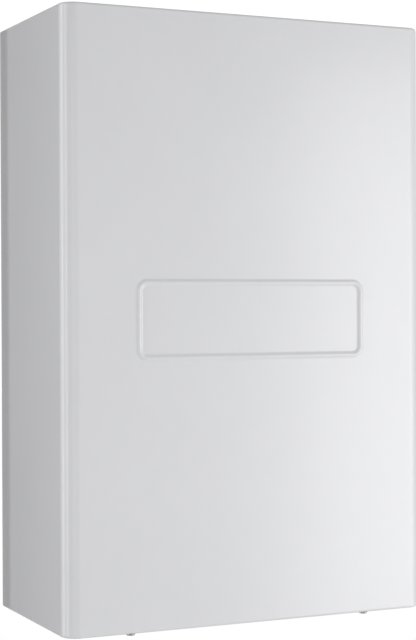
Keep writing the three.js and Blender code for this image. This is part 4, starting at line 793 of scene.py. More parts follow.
    def cube(self, low: Point, high: Point) -> list[bmesh.types.BMVert]:
        """Adds a block with sharp edges.

        Args:
            low: its lowest corner.
            high: its highest corner.

        Returns:
            Its vertices.
        """
        lo, hi = Vector(low), Vector(high)
        verts = bmesh.ops.create_cube(self.bm, size=1.0)["verts"]
        bmesh.ops.scale(self.bm, vec=hi - lo, verts=verts)
        bmesh.ops.translate(self.bm, vec=(lo + hi) / 2, verts=verts)
        return verts

    def slab(self, low: Point, high: Point, axis: Axis, corner: float, rim: float = 0.5,
             steps: int = 6) -> None:
        """Adds a block whose four edges along one axis have a large radius and whose rims have a small one.

        Args:
            low: its lowest corner.
            high: its highest corner.
            axis: the way of the four edges.
            corner: their radius.
            rim: radius round both ends.
            steps: steps round each corner.
        """
        along, cube = Vector(axis.value), self.cube(low, high)
        old = set(self.bm.verts) - set(cube)
        long = [e for e in _edges_at(cube)
                if abs((e.verts[0].co - e.verts[1].co).normalized().dot(along)) > 0.99]
        self.soften(long, corner, steps)
        if rim:
            self.bm.normal_update()
            across = [e for e in _edges_at(self.since(old))
                      if abs((e.verts[0].co - e.verts[1].co).normalized().dot(along)) < 0.01
                      and e.calc_face_angle(0.0) > 1.0]
            self.soften(across, rim, 3)

    def sweep(self, points: Sequence[Point], bend: float, radius: float, sides: int = 24,
              ribs: tuple[float, float] = (0.0, 0.0)) -> None:
        """Adds a closed round bar along a bent line.

        Args:
            points: corners of the line.
            bend: room that each bend takes on both sides of its corner.
            radius: radius of the bar.
            sides: faces round it.
            ribs: pitch and depth of the ribs round a hose.
        """
        line = _bent(points, bend, ribs[0] / 4 if ribs[0] else 0.0)
        ways = [(b - a).normalized() for a, b in zip(line, line[1:])]
        ways = [ways[0], *((a + b).normalized() for a, b in zip(ways, ways[1:])), ways[-1]]
        facing = ways[0].to_track_quat("Z", "Y").to_matrix().to_4x4()
        ring = bmesh.ops.create_circle(self.bm, cap_ends=True, radius=radius, segments=sides,
                                       matrix=Matrix.Translation(line[0]) @ facing)["verts"]
        edges = _edges_at(ring)
        last = len(line) - 1
        scale, at = 1.0, Matrix.Translation(line[0]) @ facing
        for i in range(1, last + 1):
            facing = ways[i - 1].rotation_difference(ways[i]).to_matrix().to_4x4() @ facing
            size = 1.0 - ribs[1] / radius * (i % 4 > 1) * (4 < i < last - 4) if ribs[0] else 1.0
            new = Matrix.Translation(line[i]) @ facing
            grown = bmesh.ops.extrude_edge_only(self.bm, edges=edges)["geom"]
            ring = _verts_in(grown)
            edges = [g for g in grown
                     if isinstance(g, bmesh.types.BMEdge) and all(v in ring for v in g.verts)]
            bmesh.ops.transform(self.bm, matrix=new @ Matrix.Scale(size / scale, 4) @ at.inverted(),
                                verts=ring)
            scale, at = size, new
        bmesh.ops.contextual_create(self.bm, geom=edges)

    def block(self, low: Point, high: Point, edge: float = 0.0, segments: int = 3) -> None:
        """Adds a block with rounded edges.

        Args:
            low: its lowest corner.
            high: its highest corner.
            edge: radius of its edges.
            segments: steps round each edge.
        """
        cube = self.cube(low, high)
        if edge:
            self.soften(_edges_at(cube), edge, segments)

    def soften(self, edges: Iterable[bmesh.types.BMEdge], radius: float, segments: int = 3) -> None:
        """Rounds edges.

        Args:
            edges: the edges.
            radius: their radius.
            segments: steps round each.
        """
        bmesh.ops.bevel(self.bm, geom=list(edges), offset=radius, offset_type="OFFSET", affect="EDGES",
                        segments=segments, profile=0.5, material=-1, clamp_overlap=True)

    def piece(self, name: str, finish: Finish, body: str, stands_for: Sequence[str] = (),
              smooth: float = 35.0) -> bpy.types.Object:
        """Writes the mesh and makes a piece of it.

        Args:
            name: the piece's name.
            finish: its finish.
            body: the body that it rides on.
            stands_for: CAD nodes that it replaces.
            smooth: angle in degrees past which an edge stays sharp.

        Returns:
            The piece.
        """
        bmesh.ops.scale(self.bm, vec=(MM, MM, MM), verts=self.bm.verts[:])
        bmesh.ops.recalc_face_normals(self.bm, faces=self.bm.faces[:])
        mesh = bpy.data.meshes.new(name)
        self.bm.to_mesh(mesh)
        self.bm.free()
        mesh.shade_smooth()
        mesh.set_sharp_from_angle(angle=math.radians(smooth))
        made = bpy.data.objects.new(name, mesh)
        bpy.context.scene.collection.objects.link(made)
        mesh.materials.append(finish.material())
        if stands_for:
            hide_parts(*stands_for)
        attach(made, body)
        LOG.info("%s: %d faces, on %s", name, len(mesh.polygons), body)
        return made


# ------------------------------------------------------------------ sub-assemblies


@dataclass
class Casing:
    """The white sheet wrapped round the front and the sides.

    Attributes:
        width: across the front.
        depth: from the wall to the front.
        top: upper edge.
        bottom: lower edge.
        sheet: its thickness.
        corner: radius of the upright corners.
        edge: radius of the upper and lower edges.
        turned_in: width of the edge turned in round the top and the bottom.
        bead: length and height of the raised bead, on its centre line.
        bead_width: across the bead.
        bead_rise: height of the bead.
        bead_corner: radius of its centre line.
        bead_place: its middle, to the right and up.
    """

    width: float = 458.0
    depth: float = 225.0
    top: float = 30.0
    bottom: float = -670.0
    sheet: float = 1.5
    corner: float = 18.0
    edge: float = 3.0
    turned_in: float = 14.0
    bead: tuple[float, float] = (284.0, 85.0)
    bead_width: float = 10.0
    bead_rise: float = 2.0
    bead_corner: float = 10.0
    bead_place: tuple[float, float] = (1.0, -320.0)

    def outline(self, shape: Shape, height: float, inset: float) -> list[bmesh.types.BMEdge]:
        """Adds the plan of the sheet at one height, open at the wall.

        Args:
            shape: the shape in the making.
            height: where it lies.
            inset: distance inwards from the outer face.

        Returns:
            Its edges.
        """
        side, front, radius = self.width / 2 - inset, -self.depth + inset, self.corner - inset
        steps = 20
        points = [(-side, 0.0)]
        for middle, start in (((-side + radius, front + radius), math.pi),
                              ((side - radius, front + radius), 1.5 * math.pi)):
            for step in range(steps + 1):
                angle = start + math.pi / 2 * step / steps
                points.append((middle[0] + radius * math.cos(angle), middle[1] + radius * math.sin(angle)))
        points.append((side, 0.0))
        verts = shape.path((x, y, height) for x, y in points)
        return [e for v in verts for e in v.link_edges if e.other_vert(v) in verts]

    def press_bead(self, shape: Shape) -> None:
        """Puts the raised bead in the flat of the front.

        Args:
            shape: the wrapped sheet.
        """
        bm = shape.bm
        flat = max((f for f in bm.faces if f.normal.y < -0.99), key=lambda f: f.calc_area())
        rim = list(flat.edges)
        bmesh.ops.delete(bm, geom=[flat], context="FACES_ONLY")
        half = self.bead_width / 2
        wide, high = self.bead[0] / 2 + half, self.bead[1] / 2 + half
        x, z = self.bead_place
        y = -self.depth
        corners = [bm.verts.new(p) for p in ((x - wide, y, z - high), (x + wide, y, z - high),
                                             (x + wide, y, z + high), (x - wide, y, z + high))]
        face = bm.faces.new(corners)
        face.normal_update()
        bmesh.ops.bevel(bm, geom=corners, offset=self.bead_corner + half, offset_type="OFFSET",
                        affect="VERTICES", segments=12, profile=0.5, material=-1)
        face = max((f for f in bm.faces if f.is_valid and all(abs(v.co.y - y) < 1e-4 for v in f.verts)
                    and len(f.verts) > 40), key=lambda f: f.calc_area())
        outer = list(face.edges)
        steps = 12
        before = 0.0
        for step in range(1, steps + 1):
            rise = self.bead_rise * (0.5 - 0.5 * math.cos(math.tau * step / steps))
            bmesh.ops.inset_individual(bm, faces=[face], thickness=self.bead_width / steps,
                                       depth=rise - before, use_even_offset=True)
            before = rise
        bmesh.ops.triangle_fill(bm, use_beauty=True, use_dissolve=False, edges=rim + outer)

    def build(self) -> None:
        """Makes the casing."""
        shape = Shape()
        bm = shape.bm
        rows = [self.outline(shape, self.bottom, self.turned_in), self.outline(shape, self.bottom, 0.0),
                self.outline(shape, self.top, 0.0), self.outline(shape, self.top, self.turned_in)]
        rows = [list(dict.fromkeys(row)) for row in rows]
        for low, high in zip(rows, rows[1:]):
            bmesh.ops.bridge_loops(bm, edges=low + high)
        shape.soften(rows[1] + rows[2], self.edge, 6)
        bmesh.ops.recalc_face_normals(bm, faces=bm.faces[:])
        if sum(f.normal.y * f.calc_area() for f in bm.faces) > 0:
            bmesh.ops.reverse_faces(bm, faces=bm.faces[:])
        self.press_bead(shape)
        bmesh.ops.recalc_face_normals(bm, faces=bm.faces[:])
        if sum(f.normal.y * f.calc_area() for f in bm.faces) > 0:
            bmesh.ops.reverse_faces(bm, faces=bm.faces[:])
        bmesh.ops.solidify(bm, geom=bm.faces[:], thickness=self.sheet)
        made = shape.piece("casing_sheet", FINISHES["white_paint"], "outer_casing", ["casing"], smooth=50.0)
        even = made.modifiers.new("even_normals", "WEIGHTED_NORMAL")
        even.keep_sharp = True


@dataclass(frozen=True)
class Spot:
    """The box that a CAD node fills, in millimetres.

    Attributes:
        low: its lowest corner.
        high: its highest corner.
    """

    low: Vector
    high: Vector

    @classmethod
    def of(cls, node: str) -> Spot:
        """Reads the box of a node.

        Args:
            node: the node's name.

        Returns:
            Its box.
        """
        low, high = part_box(node)
        return cls(low / MM, high / MM)

    @property
    def middle(self) -> Vector:
        """The middle of the box."""
        return (self.low + self.high) / 2

    @property
    def rear(self) -> Vector:
        """The middle of its rear face."""
        return Vector((self.middle.x, self.high.y, self.middle.z))

    @property
    def foot(self) -> Vector:
        """The middle of its lower face."""
        return Vector((self.middle.x, self.middle.y, self.low.z))


def slot_of(node: str) -> str:
    """Finds the record's slot of a CAD node.

    Args:
        node: the node's name.

    Returns:
        The slot's name.
    """
    label = frame["nodes"][node].material_slots[0].material.name
    return next(slot for slot in FINISHES if label.startswith(slot))


def round_about(middle: Vector, axis: Axis, radius: float, count: int, start: float = 0.0) -> list[Vector]:
    """Gives places evenly round an axis.

    Args:
        middle: a point on the axis.
        axis: the axis, Y or Z.
        radius: distance of the places from it.
        count: how many there are.
        start: degrees from +X to the first.

    Returns:
        The places.
    """
    angles = [math.radians(start + 360.0 * i / count) for i in range(count)]
    if axis is Axis.Z:
        return [middle + radius * Vector((math.cos(a), math.sin(a), 0.0)) for a in angles]
    return [middle + radius * Vector((math.cos(a), 0.0, math.sin(a))) for a in angles]


@dataclass
class Assembly:
    """What every sub-assembly of the boiler shares.

    Attributes:
        body: the body that its fixed pieces ride on.
        clear: gap between pieces that seat on each other.
    """

    body: str = "chassis"
    clear: float = 0.3

    def piece(self, shape: Shape, name: str, slot: str, *nodes: str, body: str = "",
              smooth: float = 35.0) -> None:
        """Makes a piece of a shape.

        Args:
            shape: the finished shape.
            name: the piece's name.
            slot: its finish's slot.
            nodes: CAD nodes that it stands for.
            body: the body that it rides on, where it isn't the assembly's own.
            smooth: angle in degrees past which an edge stays sharp.
        """
        shape.piece(name, FINISHES[slot], body or self.body, nodes, smooth)

    def eased(self, node: str, edge: float = 0.5, segments: int = 2) -> None:
        """Puts a copy of a node with eased edges in its place.

        Args:
            node: the node's name.
            edge: radius of its edges.
            segments: steps round each edge.
        """
        slot = slot_of(node)
        shape = Shape.copied(node)
        shape.ease(edge, segments)
        made = shape.piece(node + "_body", FINISHES[slot], frame["nodes"][node]["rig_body"], [node])
        made.modifiers.new("even_normals", "WEIGHTED_NORMAL").keep_sharp = True


@dataclass
class Cabinet(Assembly):
    """Frame, wall bracket and sheets behind the casing, with its two screws.

    Attributes:
        screw_head: radius of a casing screw's head.
        screw_height: height of that head.
        thread: radius and pitch of its thread.
        swage: width and rise of a bead pressed in the back.
        swage_heights: where the beads lie.
        buffer: radius of a rubber buffer.
        tails: CAD nodes of the pipes that go through the bottom plate.
    """

    screw_head: float = 5.0
    screw_height: float = 2.2
    thread: tuple[float, float] = (2.0, 0.9)
    swage: tuple[float, float] = (12.0, 1.8)
    swage_heights: tuple[float, ...] = (-150.0, -290.0, -430.0, -570.0)
    buffer: float = 9.0
    tails: tuple[str, ...] = (
        "heating_flow_tail", "hot_water_tail", "gas_tail", "cold_water_tail", "heating_return_tail",
    )

    def screws(self) -> None:
        """Turns the two screws that hold the casing."""
        for side in ("left", "right"):
            spot = Spot.of("casing_screw_" + side)
            seat = Vector((spot.middle.x, spot.middle.y, spot.low.z + self.screw_height))
            shape = Shape()
            shape.screw(Axis.Z, seat, self.screw_head, -1.0, self.screw_height)
            outer, pitch = self.thread
            turns = int((spot.high.z - seat.z) / pitch)
            ridge = [(outer - 0.45 * (i % 2), i * pitch / 2) for i in range(2 * turns)]
            shape.turn([(0.0, 0.0), *ridge, (0.0, turns * pitch)], Axis.Z, seat, 24)
            self.piece(shape, f"casing_screw_{side}_head", "bright_steel", "casing_screw_" + side)

    def back(self) -> None:
        """Presses beads in the back sheet and sets rubber buffers in its lower corners."""
        spot = Spot.of("rear_frame")
        face = Spot.of("wall_bracket").low.y + 4.8
        wide, rise = self.swage
        beads = Shape()
        for height in self.swage_heights:
            beads.slab((spot.low.x + 40, face - 0.4, height - wide / 2),
                       (spot.high.x - 90, face + rise, height + wide / 2), Axis.Y, wide / 2 - 0.1,
                       rise * 0.8)
        self.piece(beads, "rear_frame_beads", "zinc_sheet")
        rubber = Shape()
        for x in (spot.low.x + 26, spot.high.x - 26):
            rubber.turn([(0.0, 0.0), (self.buffer - 1, 0.0), (self.buffer, 0.7), (self.buffer + 1, 3.0),
                         (0.0, 3.0)], Axis.Y, (x, -0.1, spot.low.z + 30), 40, -1.0)
        self.piece(rubber, "wall_buffers", "black_rubber")

    def grommets(self) -> None:
        """Puts a rubber grommet round each pipe under the bottom plate."""
        under = Spot.of("heating_flow_tail").high.z - 1.5
        shape = Shape()
        for node in (*self.tails, "filling_tap", "condensate_trap"):
            spot = Spot.of(node)
            bore = 11.1 if node == "condensate_trap" else 9.1
            y = spot.low.y + 9.0 if node == "filling_tap" else spot.middle.y
            shape.turn([(bore, -0.2), (bore + 3.4, -0.2), (bore + 3.9, -0.8), (bore + 3.4, -1.8),
                        (bore + 1.0, -2.2), (bore, -1.6)], Axis.Z, (spot.middle.x, y, under), 48)
        self.piece(shape, "pipe_grommets", "black_rubber")

    def build(self) -> None:
        """Makes the cabinet."""
        self.screws()
        for node, edge in (("wall_bracket", 0.6), ("rear_frame", 0.4), ("top_panel", 0.5),
                           ("bottom_plate", 0.4)):
            self.eased(node, edge)
        self.back()
        self.grommets()


@dataclass
class Flue(Assembly):
    """The flue's collar, seal and duct on the top panel.

    Attributes:
        screws: how many hold the collar.
        cap: radius and length of a test point's cap.
        cap_side: distance of a cap from the middle.
    """

    screws: int = 6
    cap: tuple[float, float] = (3.8, 7.5)
    cap_side: float = 12.0

    def build(self) -> None:
        """Makes the flue."""
        collar, duct, seal = Spot.of("flue_collar"), Spot.of("flue_duct"), Spot.of("flue_seal")
        at = Vector((collar.middle.x, collar.middle.y, 0.0))
        rim = (collar.high.x - collar.low.x) / 2
        mouth, foot, top = rim - 11.0, collar.low.z, collar.high.z
        shape = Shape()
        shape.turn([(mouth - 2, foot), (rim - 0.5, foot), (rim, foot + 0.5), (rim, foot + 1.5),
                    (rim - 0.5, foot + 2), (mouth + 1.6, foot + 2), (mouth + 0.5, foot + 2.6),
                    (mouth, foot + 3.8), (mouth, top - 2.2), (mouth + 0.7, top - 1.8),
                    (mouth + 0.7, top - 0.5), (mouth + 0.2, top), (mouth - 1.5, top),
                    (mouth - 2, top - 0.5)], Axis.Z, at, 96)
        self.piece(shape, "flue_collar_turned", "white_paint", "flue_collar")
        shape = Shape()
        shape.turn([(mouth - 2, seal.low.z), (rim - 0.6, seal.low.z), (rim, seal.low.z + 1.0),
                    (rim - 0.6, seal.high.z), (mouth - 2, seal.high.z)], Axis.Z, at, 96)
        self.piece(shape, "flue_seal_ring", "black_rubber", "flue_seal")
        bore = (duct.high.x - duct.low.x) / 2
        shape = Shape()
        shape.turn([(bore - 1.5, duct.low.z), (bore, duct.low.z), (bore, top - 8), (bore + 1.6, top - 6.5),
                    (bore + 1.6, top - 1.0), (bore + 1.0, top), (bore - 0.6, top), (bore - 1.5, top - 1.2)],
                   Axis.Z, at, 72)
        self.piece(shape, "flue_duct_tube", "grey_plastic", "flue_duct")
        shape = Shape()
        for lip in (4.0, 8.0):
            shape.turn([(bore - 1.6, top - lip), (bore - 1.2, top - lip - 1.6),
                        (bore - 3.2, top - lip - 1.2), (bore - 3.4, top - lip - 0.8)], Axis.Z, at, 72)
        self.piece(shape, "flue_lip_seal", "black_rubber")
        heads = Shape()
        for spot in round_about(at, Axis.Z, rim - 5.0, self.screws, 30.0):
            heads.screw(Axis.Z, spot + Vector((0, 0, foot + 2.0)), 3.4, 1.0, 2.0)
        self.piece(heads, "flue_collar_screws", "bright_steel")
        caps = Shape()
        wide, long = self.cap
        for x in (-self.cap_side, self.cap_side):
            start = at + Vector((x, -math.sqrt(mouth ** 2 - x ** 2) + 1.0, foot + 6.6))
            grip = caps.turn([(0.0, 0.0), (wide - 1, 0.0), (wide - 1, 2.0), (wide, 2.4), (wide, long - 0.8),
                              (wide - 0.8, long), (0.0, long)], Axis.Y, start, 36, -1.0)
            caps.drawn_in(grip, Axis.Y, start,
                          lambda r, a: r - 0.35 * (r > wide - 0.1) * (math.sin(12 * a) > 0))
        self.piece(caps, "flue_test_caps", "black_plastic")


@dataclass
class HeatModule(Assembly):
    """The drum that lies front to back, with its burner door.

    Attributes:
        drum: radius of the drum.
        flange: radius of its flange and of the door.
        bead: rise of the beads rolled in the drum.
        nipple: radius of the water nipples.
        nuts: how many hold the door, and how far from its middle.
        nut_across: size of a nut across its flats.
        ribs: how many ribs cross the door.
        electrode: distance and angle of the electrode from the middle.
        glass: angle of the sight glass.
    """

    drum: float = 95.0
    flange: float = 101.0
    bead: float = 1.4
    nipple: float = 10.0
    nuts: tuple[int, float] = (8, 90.0)
    nut_across: float = 10.0
    ribs: int = 12
    electrode: tuple[float, float] = (44.0, -45.0)
    glass: float = 215.0

    def shell(self, at: Vector, spot: Spot) -> None:
        """Rolls the drum and sets its nipples.

        Args:
            at: a point on the drum's axis, on the wall.
            spot: the box of the drum.
        """
        back, front, r, wall = spot.high.y, spot.low.y, self.drum, 2.0
        rolled = []
        for y in (back - 26, back - 52, back - 78, back - 104):
            rolled += [(r, y + 3.5), (r + self.bead * 0.8, y + 1.6), (r + self.bead, y),
                       (r + self.bead * 0.8, y - 1.6), (r, y - 3.5)]
        shape = Shape()
        shape.turn([(0.0, back), (r - 8, back), (r - 3, back - 1.2), (r - 0.8, back - 4), (r, back - 8),
                    *rolled, (r, front + 6), (r + 1.2, front + 4.4), (self.flange - 0.4, front + 4),
                    (self.flange, front + 3.4), (self.flange, front + 0.5), (self.flange - 0.5, front),
                    (r - wall, front), (r - wall, back - 9), (r - 10, back - wall), (0.0, back - wall)],
                   Axis.Y, at, 120)
        low = spot.low.z
        for x, y in ((-45.0, -50.0), (45.0, -50.0), (60.0, -110.0)):
            reach = math.sqrt(r ** 2 - x ** 2)
            foot, n = Vector((at.x + x, y, 0.0)), self.nipple
            shape.turn([(n - 2, low), (n - 0.4, low), (n, low + 0.5), (n, low + 5), (n + 0.9, low + 6),
                        (n + 0.9, low + 8), (n, low + 9), (n, at.z - reach + 3), (n - 2, at.z - reach + 3)],
                       Axis.Z, foot, 40)
        top = spot.high.z
        shape.turn([(28.5, at.z + 91), (30, at.z + 91), (30, top - 6), (31.2, top - 5), (31.2, top - 3),
                    (30, top - 2), (30, top), (28.5, top)], Axis.Z, (at.x, -75.0, 0.0), 72)
        self.piece(shape, "exchanger_drum", "stainless", "exchanger_shell")

    def door(self, at: Vector, spot: Spot) -> None:
        """Casts the door with its ribs.

        Args:
            at: a point on the drum's axis, on the wall.
            spot: the box of the door.
        """
        back, face, r = spot.high.y, spot.low.y + 4, self.flange
        shape = Shape()
        shape.turn([(14, back), (55, back), (56, back - 1), (56, back - 12), (r - 0.6, back - 12),
                    (r, back - 12.6), (r, face + 1.6), (r - 1.6, face), (r - 6, face), (r - 7.5, face + 1.5),
                    (82, face + 1.5), (80, face - 0.5), (77, face - 0.5), (75, face + 1.5), (26, face + 1.5),
                    (23, face - 0.6), (20.6, face - 3.4), (20, face - 4), (14, face - 4)], Axis.Y, at, 120)
        for i in range(self.ribs):
            old = set(shape.bm.verts)
            shape.block((at.x + 22, face - 0.8, at.z - 1.3), (at.x + 78.5, face + 2.5, at.z + 1.3), 0.7, 2)
            turn = Matrix.Rotation(math.tau * i / self.ribs, 3, "Y")
            bmesh.ops.rotate(shape.bm, cent=at, matrix=turn, verts=shape.since(old))
        for place in round_about(at, Axis.Y, self.nuts[1], self.nuts[0], 22.5):
            shape.turn([(0.0, face + 3), (7.4, face + 3), (7.4, face - 0.4), (6.8, face - 1.0),
                        (0.0, face - 1.0)], Axis.Y, place, 32)
        self.piece(shape, "burner_door_cast", "cast_alloy", "burner_door")
        seat = face - 1.0
        nuts = Shape()
        for place in round_about(at, Axis.Y, self.nuts[1], self.nuts[0], 22.5):
            foot = place + Vector((0.0, seat, 0.0))
            nuts.turn([(2.6, 0.0), (6.3, 0.0), (6.3, 0.5), (5.6, 1.2), (2.6, 1.2)], Axis.Y, foot, 32, -1.0)
            nuts.nut(Axis.Y, foot - Vector((0, 1.1, 0)), self.nut_across, 2.6, 5.0, -1.0)
            thread = [(3.0 - 0.35 * (k % 2), 0.5 * k) for k in range(18)]
            nuts.turn([(0.0, 0.0), *thread, (2.2, 9.2), (0.0, 9.2)], Axis.Y, foot, 20, -1.0)
        self.piece(nuts, "burner_door_nuts", "bright_steel")

    def igniter(self, at: Vector, face: float) -> None:
        """Sets the electrode and the sight glass in the door.

        Args:
            at: a point on the drum's axis, on the wall.
            face: the door's front.
        """
        orbit, angle = self.electrode
        spot = Spot.of("ignition_electrode")
        place = round_about(at, Axis.Y, orbit, 1, angle)[0]
        front, back = spot.low.y, spot.high.y
        ribs = []
        for i in range(3):
            y = front + 2.0 + 2.6 * i
            ribs += [(3.6, y), (4.9, y + 0.5), (4.9, y + 1.3), (3.6, y + 1.8)]
        shape = Shape()
        shape.turn([(0.0, front), (3.2, front), (3.6, front + 0.5), *ribs, (5.0, front + 11),
                    (5.0, front + 39), (4.2, front + 40), (1.5, front + 40), (1.5, back - 1), (1.0, back),
                    (0.0, back)], Axis.Y, place, 32)
        self.piece(shape, "ignition_electrode_ceramic", "white_ceramic", "ignition_electrode")
        plate = Shape()
        plate.slab(place + Vector((-13, face - 3.4, -7)), place + Vector((13, face + 0.4, 7)), Axis.Y, 6.9,
                   0.4, 8)
        for x in (-9.5, 9.5):
            plate.screw(Axis.Y, place + Vector((x, face - 3.4, 0.0)), 2.8, -1.0, 1.8)
        plate.turn([(0.0, 0.0), (1.1, 0.0), (1.1, 4.6), (0.7, 5.2), (0.0, 5.2)], Axis.Y,
                   place + Vector((0.0, front, 0.0)), 20, -1.0)
        self.piece(plate, "electrode_plate", "bright_steel")
        eye = round_about(at, Axis.Y, orbit, 1, self.glass)[0] + Vector((0.0, face + 1.0, 0.0))
        ring = Shape()
        ring.turn([(5.0, 0.0), (9.0, 0.0), (9.0, 3.4), (8.2, 4.2), (5.8, 4.2), (5.0, 3.4)], Axis.Y, eye, 48,
                  -1.0)
        self.piece(ring, "sight_glass_ring", "yellow_brass")
        # The pane is an opaque black disc in place of clear glass: its black is painted shade for the dark
        # chamber behind the glass.
        pane = Shape()
        pane.turn([(0.0, 0.0), (5.0, 0.0), (5.0, 2.2), (3.0, 2.8), (0.0, 3.0)], Axis.Y, eye, 40, -1.0)
        self.piece(pane, "sight_glass_pane", "black_plastic")

    def build(self) -> None:
        """Makes the heat module."""
        drum, door, gasket = Spot.of("exchanger_shell"), Spot.of("burner_door"), Spot.of("door_gasket")
        at = Vector((door.middle.x, 0.0, door.middle.z))
        self.shell(at, drum)
        self.door(at, door)
        self.igniter(at, door.low.y + 5.5)
        ring = Shape()
        r = self.flange
        ring.turn([(79, gasket.high.y), (r - 0.6, gasket.high.y), (r, gasket.middle.y),
                   (r - 0.6, gasket.low.y), (79, gasket.low.y)], Axis.Y, at, 96)
        self.piece(ring, "door_gasket_ring", "black_rubber", "door_gasket")
        self.eased("exchanger_coil", 0.6)
        self.eased("burner", 0.2)


@dataclass
class FanUnit(Assembly):
    """The fan with its motor, venturi, air box and the duct to the burner door.

    Attributes:
        can: radius of the motor's can.
        flange: radius of the motor's flange.
        shaft: radius of the bore for the rotor's shaft.
        fins: cooling grooves round the can.
        duct: radius of the duct.
        bend: room that each of its bends takes.
    """

    can: float = 34.0
    flange: float = 49.0
    shaft: float = 4.5
    fins: int = 30
    duct: float = 14.0
    bend: float = 22.0

    def motor(self) -> None:
        """Makes the fan's motor with its plug socket and screws."""
        spot = Spot.of("fan_motor")
        at = spot.rear
        length = spot.high.y - spot.low.y
        r = self.can
        rings = [(r, 9.0), (r, 10.0), (r, 32.0), (r, 33.0)]
        shape = Shape()
        can = shape.turn([(0.0, length), (r - 9, length), (r - 7, length - 1.2), (r - 4, length - 2.0),
                          (r, length - 5), (r, length - 8), *reversed(rings), (r, 5.0), (r + 1.5, 3.2),
                          (self.flange - 0.8, 3.0), (self.flange, 2.2), (self.flange, 0.8),
                          (self.flange - 0.8, 0.0), (self.shaft, 0.0), (self.shaft, length - 4),
                          (0.0, length - 4)], Axis.Y, at, 120, -1.0)
        deep = [v for v in can if 9.5 < at.y - v.co.y < 32.5]
        shape.drawn_in(deep, Axis.Y, at,
                       lambda a, t: a - 1.6 * (a > r - 1) * (math.sin(self.fins * t) > 0.2))
        self.piece(shape, "fan_motor_can", "black_plastic", "fan_motor")
        plug = Shape()
        low = Vector((at.x - 11, at.y - 30, at.z - r - 9))
        plug.slab(low, low + Vector((22, 16, 11)), Axis.Z, 2.0, 0.6)
        for i in range(4):
            plug.block(low + Vector((3.0 + 4.4 * i, 3.0, -1.6)), low + Vector((5.6 + 4.4 * i, 13.0, 0.4)),
                       0.3, 1)
        self.piece(plug, "fan_motor_plug", "white_plastic")
        heads = Shape()
        for place in round_about(at, Axis.Y, self.flange - 6, 3, 90.0):
            heads.screw(Axis.Y, place - Vector((0, 3.0, 0)), 3.6, -1.0, 2.4)
        self.piece(heads, "fan_motor_screws", "bright_steel")

    def volute(self) -> None:
        """Puts the joint, lugs and screws on the fan's housing, and eases what is mounted there."""
        spot = Spot.of("fan_housing")
        at = Vector((spot.low.x + 52.0, 0.0, spot.middle.z))
        shape = Shape()
        for y in (spot.low.y + 2.0, spot.high.y - 5.0):
            shape.turn([(50.5, y), (52.8, y), (53.4, y + 0.6), (53.4, y + 2.4), (52.8, y + 3.0),
                        (50.5, y + 3.0)], Axis.Y, at, 96)
        for place in round_about(at, Axis.Y, 54.5, 4, 155.0):
            shape.turn([(0.0, spot.low.y + 1), (4.6, spot.low.y + 1), (4.6, spot.high.y - 1),
                        (0.0, spot.high.y - 1)], Axis.Y, place, 32)
        self.piece(shape, "fan_housing_joint", "cast_alloy")
        heads = Shape()
        for place in round_about(at, Axis.Y, 54.5, 4, 155.0):
            heads.screw(Axis.Y, place + Vector((0, spot.low.y + 1, 0)), 3.4, -1.0, 2.2)
        self.piece(heads, "fan_housing_screws", "bright_steel")
        self.eased("fan_housing", 0.6)
        self.eased("fan_impeller", 0.25)
        self.eased("venturi", 0.5)
        self.eased("air_silencer", 1.0, 3)

    def ducting(self) -> None:
        """Bends the duct and puts a cuff and a clip at both ends."""
        spot, door = Spot.of("premix_duct"), Spot.of("burner_door")
        r, gap = self.duct, self.clear
        mouth = Vector((spot.low.x, spot.high.y - r, spot.high.z - r))
        inlet = Vector((door.middle.x, door.low.y - gap, door.middle.z))
        turn, front = mouth.x + r + self.bend, spot.low.y + r
        shape = Shape()
        shape.sweep([mouth, (turn, mouth.y, mouth.z), (turn, front, mouth.z), (inlet.x, front, inlet.z),
                     inlet], self.bend, r, 36)
        cuff = [(r - 1, 0.2), (r + 2.4, 0.2), (r + 2.4, 7.0), (r + 1.2, 8.0), (r - 1, 8.0)]
        shape.turn(cuff, Axis.X, mouth, 60)
        shape.turn(cuff, Axis.Y, inlet, 60, -1.0)
        self.piece(shape, "premix_duct_bend", "black_plastic", "premix_duct", smooth=50.0)
        bands = Shape()
        for axis, place, way in ((Axis.X, mouth, 1.0), (Axis.Y, inlet, -1.0)):
            bands.turn([(r + 2.3, 1.6), (r + 3.1, 1.6), (r + 3.1, 5.6), (r + 2.3, 5.6)], axis, place, 60,
                       way)
        bands.nut(Axis.Y, mouth + Vector((3.6, -r - 2.6, 0.0)), 5.0, 0.0, 4.0, -1.0)
        bands.nut(Axis.Z, inlet + Vector((0.0, -3.6, r + 2.6)), 5.0, 0.0, 4.0)
        self.piece(bands, "premix_duct_clips", "bright_steel")

    def build(self) -> None:
        """Makes the fan unit."""
        self.volute()
        self.motor()
        self.ducting()


